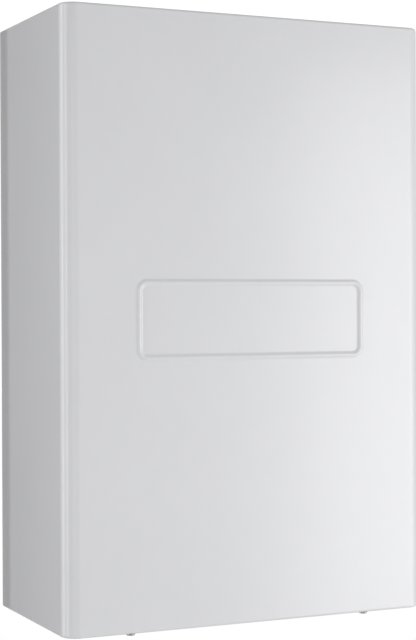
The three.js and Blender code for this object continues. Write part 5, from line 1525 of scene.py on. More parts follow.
@dataclass
class GasTrain(Assembly):
    """The gas valve with its pipes.

    Attributes:
        corner: radius of the valve's upright edges.
        boss: radius and height of a pipe boss.
        pipe: radius of the gas pipe.
        tube: radius of the tube to the venturi.
        bend: room that each bend takes.
        coil: radius of the valve's coil.
    """

    corner: float = 5.0
    boss: tuple[float, float] = (12.0, 6.0)
    pipe: float = 8.0
    tube: float = 6.0
    bend: float = 22.0
    coil: float = 17.0

    def valve(self) -> None:
        """Casts the gas valve and puts its coil, screws and test nipples on it."""
        spot = Spot.of("gas_valve")
        radius, rise = self.boss
        low = Vector((spot.low.x + rise, spot.high.y - 50, spot.low.z + rise))
        high = Vector((spot.high.x, spot.high.y, spot.high.z))
        mid = (low + high) / 2
        shape = Shape()
        shape.slab(low, high, Axis.Z, self.corner, 1.2)
        shape.slab((low.x + 6, low.y - 1.4, low.z + 6), (high.x - 6, low.y + 1, high.z - 6), Axis.Y, 6.0,
                   0.8)
        boss = [(0.0, -rise), (radius - 1, -rise), (radius, -rise + 1), (radius, 1.0), (0.0, 1.0)]
        shape.turn(boss, Axis.Z, (mid.x, mid.y, low.z), 48)
        shape.turn(boss, Axis.X, (low.x, mid.y, mid.z), 48)
        self.piece(shape, "gas_valve_casting", "cast_alloy", "gas_valve")
        face, length = low.y - 1.4, low.y - spot.low.y - 1.4
        coil = Shape()
        r = self.coil
        coil.turn([(0.0, 0.0), (r, 0.0), (r, 3.0), (r - 1.2, 4.0), (r - 1.2, length - 7), (r, length - 6),
                   (r, length - 4), (r - 1.5, length - 2.5), (5.0, length - 2.5), (0.0, length - 2.5)],
                  Axis.Y, (mid.x, face, mid.z), 64, -1.0)
        coil.slab((mid.x - 8, face - 17, mid.z + r - 3), (mid.x + 8, face - 4, mid.z + r + 9), Axis.Z, 1.6,
                  0.6)
        self.piece(coil, "gas_valve_coil", "black_plastic")
        brass = Shape()
        brass.nut(Axis.Y, (mid.x, face - length + 2.6, mid.z), 9.0, 0.0, 2.6, -1.0)
        for x in (low.x + 11, high.x - 11):
            brass.turn([(0.0, 0.0), (3.6, 0.0), (3.6, 3.0), (2.6, 3.6), (2.6, 8.0), (3.0, 8.6), (2.4, 10.0),
                        (1.2, 10.4), (0.0, 9.4)], Axis.Y, (x, face + 1.0, low.z + 9), 32, -1.0)
        self.piece(brass, "gas_valve_nipples", "yellow_brass")
        heads = Shape()
        for x in (low.x + 10, high.x - 10):
            heads.screw(Axis.Y, (x, face, high.z - 10), 3.2, -1.0, 2.2)
        self.piece(heads, "gas_valve_screws", "bright_steel")

    def build(self) -> None:
        """Makes the gas train."""
        self.valve()
        valve, pipe, tube = Spot.of("gas_valve"), Spot.of("gas_pipe"), Spot.of("gas_tube")
        tail, venturi = Spot.of("gas_tail"), Spot.of("venturi")
        x, y, gap = tail.middle.x, pipe.low.y + self.pipe, self.clear
        top = valve.low.z - gap
        shape = Shape()
        shape.sweep([(x, tail.middle.y, pipe.low.z), (x, tail.middle.y, top - 70), (x, y, top - 30),
                     (x, y, top)], self.bend, self.pipe, 32)
        self.piece(shape, "gas_pipe_bent", "copper", "gas_pipe", smooth=50.0)
        height = tube.low.z + self.tube
        start = (valve.low.x - gap, y, height)
        port = (venturi.middle.x, tube.high.y - self.tube, tube.high.z)
        shape = Shape()
        shape.sweep([start, (port[0] + 30, y, height), (port[0], port[1], height + 50), port], self.bend,
                    self.tube, 28)
        self.piece(shape, "gas_tube_bent", "copper", "gas_tube", smooth=50.0)
        nuts = Shape()
        nuts.nut(Axis.Z, (x, y, top - 1), 24.0, self.pipe - 0.4, 13.0, -1.0)
        nuts.nut(Axis.Z, (x, tail.middle.y, pipe.low.z + 0.6), 24.0, self.pipe - 0.4, 13.0)
        nuts.nut(Axis.X, Vector(start) - Vector((0.6, 0, 0)), 17.0, self.tube - 0.4, 10.0, -1.0)
        nuts.nut(Axis.Z, Vector(port) - Vector((0, 0, 0.6)), 17.0, self.tube - 0.4, 10.0, -1.0)
        self.piece(nuts, "gas_union_nuts", "yellow_brass")


@dataclass
class Expansion(Assembly):
    """The flat expansion vessel on the right, with its pipe.

    Attributes:
        corner: radius of its outline.
        rounding: radius of its rims.
        seam: width and rise of the welded seam.
        pipe: radius of the pipe.
        neck: height of the boss at its lower end.
        cap: radius and length of the air valve's cap.
    """

    corner: float = 45.0
    rounding: float = 16.0
    seam: tuple[float, float] = (3.0, 1.6)
    pipe: float = 6.0
    neck: float = 8.0
    cap: tuple[float, float] = (5.5, 11.0)

    def build(self) -> None:
        """Makes the vessel and its pipe."""
        spot, route = Spot.of("expansion_vessel"), Spot.of("vessel_pipe")
        low, high = Vector((spot.low.x, spot.low.y, spot.low.z + self.neck)), spot.high
        mid = (low + high) / 2
        shape = Shape()
        shape.slab(low, high, Axis.X, self.corner, 0.0, 16)
        shape.bm.normal_update()
        rims = [e for e in shape.bm.edges if e.calc_face_angle(0.0) > 1.0]
        shape.soften(rims, self.rounding, 8)
        neck_y = high.y - self.corner - self.pipe
        boss = (mid.x, neck_y, spot.low.z)
        shape.turn([(0.0, 0.0), (9.0, 0.0), (9.0, self.neck + 3), (0.0, self.neck + 3)], Axis.Z, boss, 36)
        wide, rise = self.seam
        shape.slab((mid.x - wide / 2, low.y - rise, low.z - rise),
                   (mid.x + wide / 2, high.y + rise, high.z + rise), Axis.X, self.corner + rise, 0.8, 16)
        self.piece(shape, "expansion_vessel_tank", "red_paint", "expansion_vessel", smooth=40.0)
        valve = Shape()
        r, long = self.cap
        foot = Vector((mid.x, low.y + 1.0, high.z - 70.0))
        grip = valve.turn([(0.0, 0.0), (r + 2.5, 0.0), (r + 2.5, 1.6), (r, 2.4), (r, long - 1),
                           (r - 1, long), (0.0, long)], Axis.Y, foot, 48, -1.0)
        valve.drawn_in(grip, Axis.Y, foot,
                       lambda a, t: a - 0.4 * (r + 0.5 > a > r - 0.2) * (math.sin(16 * t) > 0))
        self.piece(valve, "vessel_air_valve_cap", "black_plastic")
        pipe = Shape()
        top = spot.low.z - self.clear
        end = (route.low.x + self.pipe, -60.0, route.low.z)
        pipe.sweep([(mid.x, neck_y, top), (mid.x, neck_y, top - 14), (end[0], end[1], end[2] + 14), end],
                   10.0, self.pipe, 28)
        self.piece(pipe, "vessel_pipe_bent", "copper", "vessel_pipe", smooth=50.0)


@dataclass
class Hydraulics(Assembly):
    """Blocks, pump, plate pack, valves, pipes and tails on the bottom plate.

    Attributes:
        nut_across: size of a tail's nut across its flats.
        nut_height: its height.
        tail: outer and inner radius of a tail.
        riser: radius of a water pipe.
        bend: room that each of its bends takes.
        hose: radius of the drain hose.
        ribs: pitch and depth of its ribs.
        plates: how many plates the pack has.
        knob: radius of the valves' knobs.
    """

    nut_across: float = 27.0
    nut_height: float = 14.0
    tail: tuple[float, float] = (9.0, 7.5)
    riser: float = 9.0
    bend: float = 30.0
    hose: float = 9.0
    ribs: tuple[float, float] = (4.8, 1.3)
    plates: int = 16
    knob: float = 15.0

    def tails(self) -> None:
        """Turns the five tails with their union nuts and washers."""
        outer, bore = self.tail
        washers = Shape()
        for node in Cabinet.tails:
            spot = Spot.of(node)
            at = spot.foot
            length, high = spot.high.z - spot.low.z, self.nut_height
            shape = Shape()
            shape.nut(Axis.Z, at, self.nut_across, bore + 1.4, high)
            shape.turn([(bore, 2.6), (bore + 1.5, 2.6), (outer + 2.2, high - 2), (outer + 2.2, high + 0.8),
                        (outer + 1.2, high + 1.8), (outer, high + 2.2), (outer, length), (bore, length)],
                       Axis.Z, at, 48)
            self.piece(shape, node + "_turned", "yellow_brass", node)
            washers.turn([(bore - 0.6, 0.9), (bore + 1.5, 0.9), (bore + 1.5, 2.7), (bore - 0.6, 2.7)],
                         Axis.Z, at, 48)
        self.piece(washers, "tail_washers", "black_rubber")

    def pump(self) -> None:
        """Makes the pump's motor with its fins and its vent screw."""
        spot = Spot.of("pump_motor")
        at = spot.rear
        length, rim = spot.high.y - spot.low.y, (spot.high.x - spot.low.x) / 2
        r = rim - 7.0
        shape = Shape()
        can = shape.turn([(0.0, length - 1.6), (r - 6, length - 1.6), (r - 2, length - 2.4), (r, length - 5),
                          (r, length - 9), (r, length - 10), (r, 14.0), (r, 13.0), (r, 6.0), (r + 1.5, 4.2),
                          (rim - 1, 4.0), (rim, 3.2), (rim, 0.8), (rim - 0.8, 0.0), (4.5, 0.0),
                          (4.5, length - 4), (0.0, length - 4)], Axis.Y, at, 144, -1.0)
        deep = [v for v in can if 13.5 < at.y - v.co.y < length - 9.5]
        shape.drawn_in(deep, Axis.Y, at, lambda a, t: a - 1.8 * (a > r - 1) * (math.sin(24 * t) > 0.3))
        self.piece(shape, "pump_motor_can", "cast_alloy", "pump_motor")
        cover = Shape()
        cover.slab((at.x - 24, at.y - 40, at.z + r - 3), (at.x + 24, at.y - 8, at.z + r + 6), Axis.Z, 4.0,
                   1.0)
        self.piece(cover, "pump_terminal_cover", "black_plastic")
        heads = Shape()
        heads.screw(Axis.Y, at - Vector((0, length - 1.6, 0)), 8.5, -1.0, 1.6)
        for place in round_about(at, Axis.Y, rim - 3.6, 4, 45.0):
            heads.screw(Axis.Y, place - Vector((0, 3.8, 0)), 3.0, -1.0, 2.6)
        for place in ((at.x - 18, at.y - 24, at.z + r + 6), (at.x + 18, at.y - 24, at.z + r + 6)):
            heads.screw(Axis.Z, place, 2.6, 1.0, 1.6)
        self.piece(heads, "pump_motor_screws", "bright_steel")

    def pack(self) -> None:
        """Stacks the plates of the plate heat exchanger and puts its four port rings on it."""
        spot = Spot.of("plate_exchanger")
        pitch = (spot.high.y - spot.low.y) / self.plates
        shape = Shape()
        for i in range(self.plates):
            y = spot.low.y + i * pitch
            inset = 0.0 if i % 2 else 1.6
            shape.slab((spot.low.x + inset, y, spot.low.z + inset),
                       (spot.high.x - inset, y + pitch * (1.0 if i % 2 else 1.02), spot.high.z - inset),
                       Axis.Y, 14.0 - inset, 0.45, 8)
        for i in range(9):
            x = spot.low.x + 36 + 16.0 * i
            shape.slab((x, spot.low.y - 1.0, spot.low.z + 12), (x + 5, spot.low.y + 0.4, spot.high.z - 12),
                       Axis.Y, 2.4, 0.8, 4)
        self.piece(shape, "plate_exchanger_stack", "stainless", "plate_exchanger")
        ports = Shape()
        for x in (spot.low.x + 17, spot.high.x - 17):
            for z in (spot.low.z + 17, spot.high.z - 17):
                ports.turn([(0.0, -0.4), (8.5, -0.4), (8.5, 1.2), (7.0, 2.0), (4.0, 1.4), (0.0, 1.0)],
                           Axis.Y, (x, spot.low.y, z), 40, -1.0)
        self.piece(ports, "plate_exchanger_ports", "copper")

    def grip(self, node: str, axis: Axis, flutes: int, slot: str, body: str) -> None:
        """Moulds the fluted knob of a valve.

        Args:
            node: the CAD node that it stands for.
            axis: the axis that it turns on.
            flutes: how many flutes it has.
            slot: its finish's slot.
            body: the body that it rides on.
        """
        spot = Spot.of(node)
        along = Vector(axis.value)
        top, height = spot.high.dot(along), (spot.high - spot.low).dot(along)
        at = spot.middle - along * (spot.middle.dot(along) - top)
        r = self.knob
        shape = Shape()
        turned = shape.turn([(0.0, 0.0), (r - 1, 0.0), (r, 1.0), (r, 2.6), (r, height * 0.5),
                             (r, height - 4), (r - 0.8, height - 1.6), (r - 2.6, height), (r - 6, height),
                             (r - 7.5, height - 1.0), (0.0, height - 1.0)], axis, at, 144, -1.0)
        shape.drawn_in(turned, axis, at, lambda a, t: min(a, r - 2.6 * max(0.0, math.cos(flutes * t)) ** 2))
        self.piece(shape, node + "_grip", slot, node, body=body)

    def valves(self) -> None:
        """Makes the relief valve and the filling tap with their knobs, and the air vent."""
        spot = Spot.of("relief_valve")
        at = spot.rear
        length = spot.high.y - spot.low.y
        shape = Shape()
        shape.turn([(0.0, 0.0), (10.5, 0.0), (12.0, 1.0), (12.0, 3.5), (10.4, 4.5), (10.4, 12.5),
                    (12.0, 13.5), (12.0, length - 6), (11.0, length - 4), (8.5, length - 2), (8.5, length),
                    (0.0, length)], Axis.Y, at, 56, -1.0)
        shape.nut(Axis.Y, at - Vector((0, 4.0, 0)), 28.0, 0.0, 8.0, -1.0)
        self.piece(shape, "relief_valve_turned", "yellow_brass", "relief_valve")
        self.grip("relief_knob", Axis.Y, 6, "red_plastic", "relief_grip")
        spot, knob = Spot.of("filling_tap"), Spot.of("filling_knob")
        at = Vector((knob.middle.x, knob.middle.y, spot.low.z))
        length = spot.high.z - spot.low.z
        shape = Shape()
        shape.turn([(0.0, 0.0), (8.0, 0.0), (9.0, 1.0), (9.0, 20.0), (8.0, 21.0), (8.0, length - 26),
                    (9.0, length - 25), (9.0, length - 1.5), (7.5, length), (0.0, length)], Axis.Z, at, 48)
        shape.nut(Axis.Z, at + Vector((0, 0, 26)), 20.0, 0.0, 9.0)
        reach = spot.high.y - at.y
        shape.turn([(0.0, 0.0), (7.0, 0.0), (7.0, reach), (0.0, reach)], Axis.Y,
                   at + Vector((0, 0, length - 14)), 40)
        shape.nut(Axis.Y, at + Vector((0, reach - 6.0, length - 14)), 17.0, 0.0, 6.0)
        self.piece(shape, "filling_tap_turned", "yellow_brass", "filling_tap")
        self.grip("filling_knob", Axis.Z, 6, "blue_plastic", "filling_grip")
        spot = Spot.of("air_vent")
        shape = Shape()
        r, length = (spot.high.x - spot.low.x) / 2, spot.high.z - spot.low.z
        body = shape.turn([(0.0, 0.0), (r - 1, 0.0), (r, 1.0), (r, 7.0), (r - 1.2, 8.0), (r - 1.2, 20.0),
                           (r, 21.0), (r, length - 9), (r - 1.5, length - 7.6), (6.4, length - 6),
                           (6.0, length - 5.4), (6.0, length - 0.8), (5.2, length), (2.0, length),
                           (1.6, length - 1.4), (0.0, length - 1.4)], Axis.Z, spot.foot, 72)
        shape.drawn_in([v for v in body if v.co.z - spot.low.z < 7.5], Axis.Z, spot.middle,
                       lambda a, t: min(a, _flat(2 * r - 2.0, 6, t)))
        self.piece(shape, "air_vent_turned", "yellow_brass", "air_vent")

    def pipes(self) -> None:
        """Bends the water pipes and the ribbed drain hose."""
        nuts = Shape()
        for node, name in (("flow_pipe", "flow_pipe_bent"), ("return_pipe", "return_pipe_bent")):
            spot, r = Spot.of(node), self.riser
            left = node == "flow_pipe"
            low_x, high_x = (spot.low.x + r, spot.high.x - r) if left else (spot.high.x - r, spot.low.x + r)
            low = Vector((low_x, spot.low.y + r, spot.low.z))
            high = Vector((high_x, spot.high.y - r, spot.high.z))
            shape = Shape()
            shape.sweep([low, low + Vector((0, 0, 60)), high - Vector((0, 0, 60)), high], self.bend, r, 36)
            self.piece(shape, name, "copper", node, smooth=50.0)
            nuts.nut(Axis.Z, low + Vector((0, 0, 0.8)), 27.0, r - 0.4, 13.0)
            nuts.turn([(r - 0.3, 13.0), (r + 3, 13.0), (r + 1.4, 17.0), (r - 0.3, 17.0)], Axis.Z, low, 40)
            nuts.nut(Axis.Z, high + Vector((0, 0, 4.0)), 25.0, r - 0.4, 13.0, -1.0)
        self.piece(nuts, "water_union_nuts", "yellow_brass")
        spot, trap = Spot.of("condensate_hose"), Spot.of("condensate_trap")
        r = self.hose
        foot = Vector((trap.middle.x, trap.middle.y, spot.low.z))
        top = Vector((spot.low.x + r, foot.y, spot.high.z))
        shape = Shape()
        shape.sweep([top, (top.x, top.y, foot.z + 88), foot + Vector((0, 0, 26)), foot], 26.0, r, 28,
                    self.ribs)
        self.piece(shape, "condensate_hose_ribbed", "grey_plastic", "condensate_hose", smooth=60.0)
        clips = Shape()
        for place in (top - Vector((0, 0, 5.0)), foot + Vector((0, 0, 5.0))):
            clips.turn([(r - 0.4, -2.5), (r + 1.1, -2.5), (r + 1.1, 2.5), (r - 0.4, 2.5)], Axis.Z, place, 48)
            clips.nut(Axis.Y, place - Vector((0, r + 0.4, 0)), 6.0, 0.0, 4.0, -1.0)
        self.piece(clips, "condensate_hose_clips", "bright_steel")

    def trap(self) -> None:
        """Moulds the condensate trap."""
        spot = Spot.of("condensate_trap")
        at = spot.foot
        length, r = spot.high.z - spot.low.z, (spot.high.x - spot.low.x) / 2
        floor = length - 12.0 - 90.0 + 0.3
        shape = Shape()
        body = shape.turn([(9.0, 0.0), (10.4, 0.0), (11.0, 0.6), (11.0, 6.0), (10.2, 7.0), (11.0, 8.0),
                           (11.0, 14.0), (10.2, 15.0), (11.0, 16.0), (11.0, floor), (r - 1.5, floor),
                           (r, floor + 1.5), (r, floor + 16), (r - 1.2, floor + 17.5), (r - 1.2, floor + 64),
                           (r, floor + 65.5), (r, floor + 80), (11.0, length - 12.6), (11.0, length),
                           (9.0, length)], Axis.Z, at, 96)
        grip = [v for v in body if floor + 1 < v.co.z - at.z < floor + 17]
        shape.drawn_in(grip, Axis.Z, at, lambda a, t: a - 0.9 * (a > r - 0.6) * (math.sin(20 * t) > 0.4))
        self.piece(shape, "condensate_trap_bottle", "grey_plastic", "condensate_trap")

    def build(self) -> None:
        """Makes the hydraulics."""
        self.tails()
        self.pump()
        self.pack()
        self.valves()
        self.pipes()
        self.trap()
        for node, edge in (("pump_body", 1.4), ("diverter_body", 2.2), ("pump_impeller", 0.25),
                           ("flow_sensor", 0.8),
                           ("flow_turbine", 0.15), ("diverter_plunger", 0.3), ("diverter_motor", 0.8)):
            self.eased(node, edge, 3)
        self.sockets()

    def sockets(self) -> None:
        """Puts plug sockets on the diverter's motor and on the flow sensor."""
        motor, sensor = Spot.of("diverter_motor"), Spot.of("flow_sensor")
        shape = Shape()
        x = motor.middle.x
        shape.slab((x - 9, motor.low.y - 8, motor.middle.z - 7),
                   (x + 9, motor.low.y + 4, motor.middle.z + 7), Axis.Y, 1.6, 0.6)
        shape.slab((sensor.middle.x - 6, sensor.low.y - 9, sensor.middle.z - 5),
                   (sensor.middle.x + 6, sensor.low.y + 3, sensor.middle.z + 5), Axis.Y, 1.4, 0.5)
        self.piece(shape, "plug_sockets", "black_plastic")


@dataclass
class Controls(Assembly):
    """The control box and, under it, the panel with its knobs, switch and gauge.

    Attributes:
        dial: radius of a knob's skirt.
        dial_height: how far a knob stands down from the panel.
        shaft: radius of its shaft.
        flutes: how many flutes a knob has.
        marks: how many marks lie round a knob.
        scale_start: degrees from +X to the first mark of a scale, seen from above.
        scale_sweep: degrees from its first mark to its last.
        print_height: how far printed marks stand out.
        gauge: radius of the gauge.
        gauge_wall: thickness of its wall.
        gauge_height: how far it stands down.
        gauge_top: highest number on the dial, in bar.
        button: radius of the reset button.
        rocker: length and width of the rocker.
    """

    dial: float = 16.0
    dial_height: float = 15.0
    shaft: float = 3.0
    flutes: int = 22
    marks: int = 11
    scale_start: float = 135.0
    scale_sweep: float = 270.0
    print_height: float = 0.2
    gauge: float = 20.0
    gauge_wall: float = 2.0
    gauge_height: float = 14.0
    gauge_top: int = 4
    button: float = 6.0
    rocker: tuple[float, float] = (26.0, 13.0)

    def bar(self, shape: Shape, at: Vector, angle: float, reach: tuple[float, float], width: float,
            top: float, depth: float = 0.2) -> None:
        """Adds a short straight mark that points at a knob's axis.

        Args:
            shape: the shape in the making.
            at: a point on the axis.
            angle: degrees from +X, seen from above.
            reach: distances of its ends from the axis.
            width: its width.
            top: height of its upper face.
            depth: how far it stands down.
        """
        old = set(shape.bm.verts)
        shape.block((at.x + reach[0], at.y - width / 2, top - depth),
                    (at.x + reach[1], at.y + width / 2, top))
        turn = Matrix.Rotation(math.radians(angle), 3, "Z")
        bmesh.ops.rotate(shape.bm, cent=at, matrix=turn, verts=shape.since(old))

    def numeral(self, text: str, at: Vector, size: float, name: str, slot: str, body: str = "",
                tilt: float = 0.0) -> None:
        """Prints a number or a letter, read from underneath with the front edge at the top.

        Args:
            text: what is printed.
            at: its middle.
            size: its height.
            name: the piece's name.
            slot: its finish's slot.
            body: the body that it rides on.
            tilt: degrees that it leans about the Y axis.
        """
        letters = bpy.data.curves.new(name, "FONT")
        letters.body, letters.size = text, size
        letters.align_x, letters.align_y = "CENTER", "CENTER"
        letters.extrude = self.print_height / 2
        written = bpy.data.objects.new(name + "_type", letters)
        bpy.context.scene.collection.objects.link(written)
        mesh = bpy.data.meshes.new_from_object(written.evaluated_get(bpy.context.evaluated_depsgraph_get()))
        bpy.data.objects.remove(written)
        bpy.data.curves.remove(letters)
        shape = Shape()
        shape.bm.from_mesh(mesh)
        bpy.data.meshes.remove(mesh)
        bmesh.ops.remove_doubles(shape.bm, verts=shape.bm.verts[:], dist=0.005)
        turn = Matrix.Rotation(math.radians(tilt), 4, "Y") @ Matrix.Rotation(math.pi, 4, "X")
        bmesh.ops.transform(shape.bm, matrix=Matrix.Translation(at) @ turn, verts=shape.bm.verts[:])
        self.piece(shape, name, slot, body=body)

    def knob(self, node: str, body: str) -> None:
        """Moulds a control knob with its pointer.

        Args:
            node: the CAD node that it stands for.
            body: the body that it rides on.
        """
        spot, panel = Spot.of(node), Spot.of("control_panel")
        top = panel.low.z - self.clear
        at = Vector((spot.middle.x, spot.middle.y, top))
        r, h = self.dial, self.dial_height
        stem = spot.high.z - top
        shape = Shape()
        turned = shape.turn([(0.0, -stem), (self.shaft, -stem), (self.shaft, 0.0), (r - 0.5, 0.0), (r, 0.5),
                             (r, 2.0), (r - 0.8, 3.0), (r - 2.2, 3.6), (r - 2.5, 4.6), (r - 2.6, 8.0),
                             (r - 2.9, h - 2.2), (r - 3.4, h - 0.9), (r - 4.6, h - 0.1), (r - 6.0, h),
                             (r - 8.0, h - 0.5), (0.0, h - 0.8)], Axis.Z, at, 132, -1.0)
        grip = [v for v in turned if 4.0 < top - v.co.z < h - 0.4]
        shape.drawn_in(grip, Axis.Z, at,
                       lambda a, t: a - 0.55 * (a > r - 5) * max(0.0, math.cos(self.flutes * t)))
        self.piece(shape, node + "_grip", "black_plastic", node, body=body)
        line = Shape()
        line.block((at.x - 0.9, spot.low.y + 2.4, top - h - 1.1), (at.x + 0.9, at.y - 1.0, top - h + 0.9),
                   0.35, 2)
        self.piece(line, node + "_pointer", "white_plastic", body=body)

    def scale(self, node: str) -> None:
        """Prints the marks round a knob.

        Args:
            node: the knob.
        """
        spot, panel = Spot.of(node), Spot.of("control_panel")
        at = Vector((spot.middle.x, spot.middle.y, 0.0))
        marks = Shape()
        for i in range(self.marks):
            angle = self.scale_start + self.scale_sweep * i / (self.marks - 1)
            main = i % 5 == 0
            self.bar(marks, at, angle, (17.2, 19.6 if main else 18.6), 0.8 if main else 0.45,
                     panel.low.z + 0.02)
        self.piece(marks, node + "_marks", "white_plastic")

    def gauge_face(self) -> None:
        """Makes the pressure gauge with its dial, numbers and needle."""
        spot, pin = Spot.of("pressure_gauge"), Spot.of("gauge_needle")
        at = Vector((spot.middle.x, spot.middle.y, spot.high.z))
        r, h, wall = self.gauge, self.gauge_height, self.gauge_wall
        case = Shape()
        case.turn([(0.0, 0.0), (r - 0.6, 0.0), (r, 0.6), (r, h - 4.6), (r - 0.4, h - 4.2),
                   (r - wall, h - 4.0), (r - wall, 3.0), (0.0, 3.0)], Axis.Z, at, 96, -1.0)
        self.piece(case, "pressure_gauge_case", "black_plastic", "pressure_gauge")
        bezel = Shape()
        bezel.turn([(r - wall - 0.4, h - 4.4), (r - 0.2, h - 4.4), (r, h - 4.0), (r, h - 1.4),
                    (r - 0.5, h - 0.4), (r - 1.2, h), (r - 1.8, h - 0.3), (r - wall - 0.6, h - 2.4)], Axis.Z,
                   at, 96, -1.0)
        self.piece(bezel, "pressure_gauge_bezel", "bright_steel")
        face = Shape()
        face.turn([(0.0, 2.9), (r - wall - 0.1, 2.9), (r - wall - 0.1, 3.12), (0.0, 3.12)], Axis.Z, at, 96,
                  -1.0)
        self.piece(face, "gauge_dial", "white_plastic")
        top = at.z - 3.1
        marks = Shape()
        steps = self.gauge_top * 5
        for i in range(steps + 1):
            angle = self.scale_start + self.scale_sweep * i / steps
            main = i % 5 == 0
            self.bar(marks, at, angle, (13.2 if main else 14.6, 16.4), 0.55 if main else 0.3, top, 0.1)
        self.piece(marks, "gauge_marks", "black_plastic")
        for i in range(self.gauge_top + 1):
            angle = math.radians(self.scale_start + self.scale_sweep * i / self.gauge_top)
            place = at + Vector((10.6 * math.cos(angle), 10.6 * math.sin(angle), -3.15))
            self.numeral(str(i), place, 4.2, f"gauge_number_{i}", "black_plastic")
        zone = Shape()
        for i in range(12):
            angle = self.scale_start + self.scale_sweep * (0.26 + 0.02 * i)
            self.bar(zone, at, angle, (16.7, 17.6), 1.7, top, 0.1)
        self.piece(zone, "gauge_working_zone", "blue_plastic")
        limit = Shape()
        for i in range(10):
            angle = self.scale_start + self.scale_sweep * (0.77 + 0.025 * i)
            self.bar(limit, at, angle, (16.7, 17.6), 2.0, top, 0.1)
        self.piece(limit, "gauge_limit_zone", "red_plastic")
        hand = Shape()
        tip, tail, level = pin.low.y, pin.high.y, pin.high.z - 2.0
        hand.turn([(0.0, 0.0), (2.0, 0.0), (2.0, 2.4), (1.4, 3.0), (0.0, 3.0)], Axis.Z,
                  (at.x, at.y, pin.high.z), 32, -1.0)
        verts = [hand.bm.verts.new(p) for p in ((at.x - 1.1, tail, level), (at.x + 1.1, tail, level),
                                                (at.x + 0.9, at.y, level), (at.x + 0.15, tip, level),
                                                (at.x - 0.15, tip, level), (at.x - 0.9, at.y, level))]
        blade = hand.bm.faces.new(verts)
        grown = bmesh.ops.extrude_face_region(hand.bm, geom=[blade])["geom"]
        bmesh.ops.translate(hand.bm, vec=(0, 0, 0.6), verts=_verts_in(grown))
        self.piece(hand, "gauge_needle_hand", "red_plastic", "gauge_needle", body="pressure_needle")

    def buttons(self) -> None:
        """Makes the reset button and the rocker, each with its surround."""
        spot, panel = Spot.of("reset_button"), Spot.of("control_panel")
        at = spot.foot
        r, top = self.button, panel.low.z
        shape = Shape()
        stem = spot.high.z - spot.low.z
        shape.turn([(0.0, 1.1), (2.2, 0.8), (4.4, 0.2), (r - 0.7, 0.0), (r - 0.15, 0.4), (r, 1.0), (r, 6.0),
                    (r / 2, 6.0), (r / 2, stem), (0.0, stem)], Axis.Z, at, 64)
        self.piece(shape, "reset_button_cap", "red_plastic", "reset_button", body="reset_key")
        ring = Shape()
        ring.turn([(r + 0.5, 0.0), (r + 3.4, 0.0), (r + 3.4, 0.8), (r + 2.6, 1.8), (r + 1.1, 1.8),
                   (r + 0.5, 1.2)], Axis.Z, (at.x, at.y, top), 64, -1.0)
        long, wide = self.rocker
        rocker = Spot.of("power_switch")
        middle = Vector((rocker.middle.x, rocker.middle.y, top))
        self.frame(ring, middle, (long / 2 + 1.4, wide / 2 + 1.0), 2.6, 1.8)
        self.piece(ring, "switch_surrounds", "black_plastic")
        self.eased("power_switch", 0.5, 3)
        pivot = panel.low.z - self.clear - 3.0
        for text, side in (("O", 1.0), ("I", -1.0)):
            lean = side * math.degrees(math.atan2(2.2, 13.0)) - 7.0
            arm = Vector((side * 7.0, 0.0, -3.8 - 7.0 * 2.2 / 13.0 - 0.02))
            arm.rotate(Matrix.Rotation(math.radians(-7.0), 3, "Y"))
            self.numeral(text, middle.copy() + Vector((arm.x, 0.0, pivot + arm.z - middle.z)), 5.0,
                         f"power_mark_{'off' if side > 0 else 'on'}", "white_plastic", "power_rocker", lean)

    def frame(self, shape: Shape, at: Vector, half: tuple[float, float], width: float,
              height: float) -> None:
        """Adds a raised frame with mitred corners that hangs from the panel.

        Args:
            shape: the shape in the making.
            at: its middle, on the panel.
            half: half its inner length and width.
            width: width of its bars.
            height: how far it stands down.
        """
        grid = bmesh.ops.create_grid(shape.bm, x_segments=1, y_segments=1, size=1.0)["verts"]
        bmesh.ops.scale(shape.bm, vec=(half[0] + width, half[1] + width, 1.0), verts=grid)
        bmesh.ops.translate(shape.bm, vec=at, verts=grid)
        face = next(f for f in grid[0].link_faces)
        inner = bmesh.ops.inset_individual(shape.bm, faces=[face], thickness=width,
                                           use_even_offset=True)["faces"]
        bmesh.ops.delete(shape.bm, geom=[face], context="FACES_ONLY")
        grown = bmesh.ops.extrude_face_region(shape.bm, geom=inner)["geom"]
        bmesh.ops.translate(shape.bm, vec=(0.0, 0.0, -height), verts=_verts_in(grown))
        shape.bm.normal_update()
        edges = [g for g in grown if isinstance(g, bmesh.types.BMEdge) and g.calc_face_angle(0.0) > 1.0]
        shape.soften(edges, 0.5, 3)

    def box(self) -> None:
        """Makes the control box, its lid and its board."""
        lid, board = Spot.of("control_lid"), Spot.of("circuit_board")
        self.eased("control_box", 0.6, 3)
        cover = Shape()
        cover.slab(lid.low, lid.high, Axis.Y, 5.0, 0.6)
        cover.slab((lid.low.x + 12, lid.low.y - 0.9, lid.low.z + 12),
                   (lid.high.x - 12, lid.low.y + 0.4, lid.high.z - 12), Axis.Y, 6.0, 0.8)
        for i in range(7):
            z = lid.low.z + 34 + 8.0 * i
            cover.slab((lid.high.x - 92, lid.low.y - 1.9, z), (lid.high.x - 28, lid.low.y - 0.6, z + 3.4),
                       Axis.Y, 1.6, 0.5, 4)
        self.piece(cover, "control_lid_moulded", "grey_plastic", "control_lid")
        heads = Shape()
        for x in (lid.low.x + 7, lid.high.x - 7):
            for z in (lid.low.z + 7, lid.high.z - 7):
                heads.screw(Axis.Y, (x, lid.low.y, z), 3.0, -1.0, 1.8)
        self.piece(heads, "control_lid_screws", "bright_steel")
        self.eased("circuit_board", 0.3)
        face = board.high.y - 1.6
        parts = Shape()
        for i in range(5):
            x = board.middle.x - 40 + 17.0 * i
            parts.turn([(0.0, 0.0), (5.0, 0.0), (5.0, 11.5), (4.2, 12.5), (0.0, 12.3)], Axis.Y,
                       (x, face, board.middle.z - 6), 32, -1.0)
        self.piece(parts, "board_capacitors", "black_plastic")

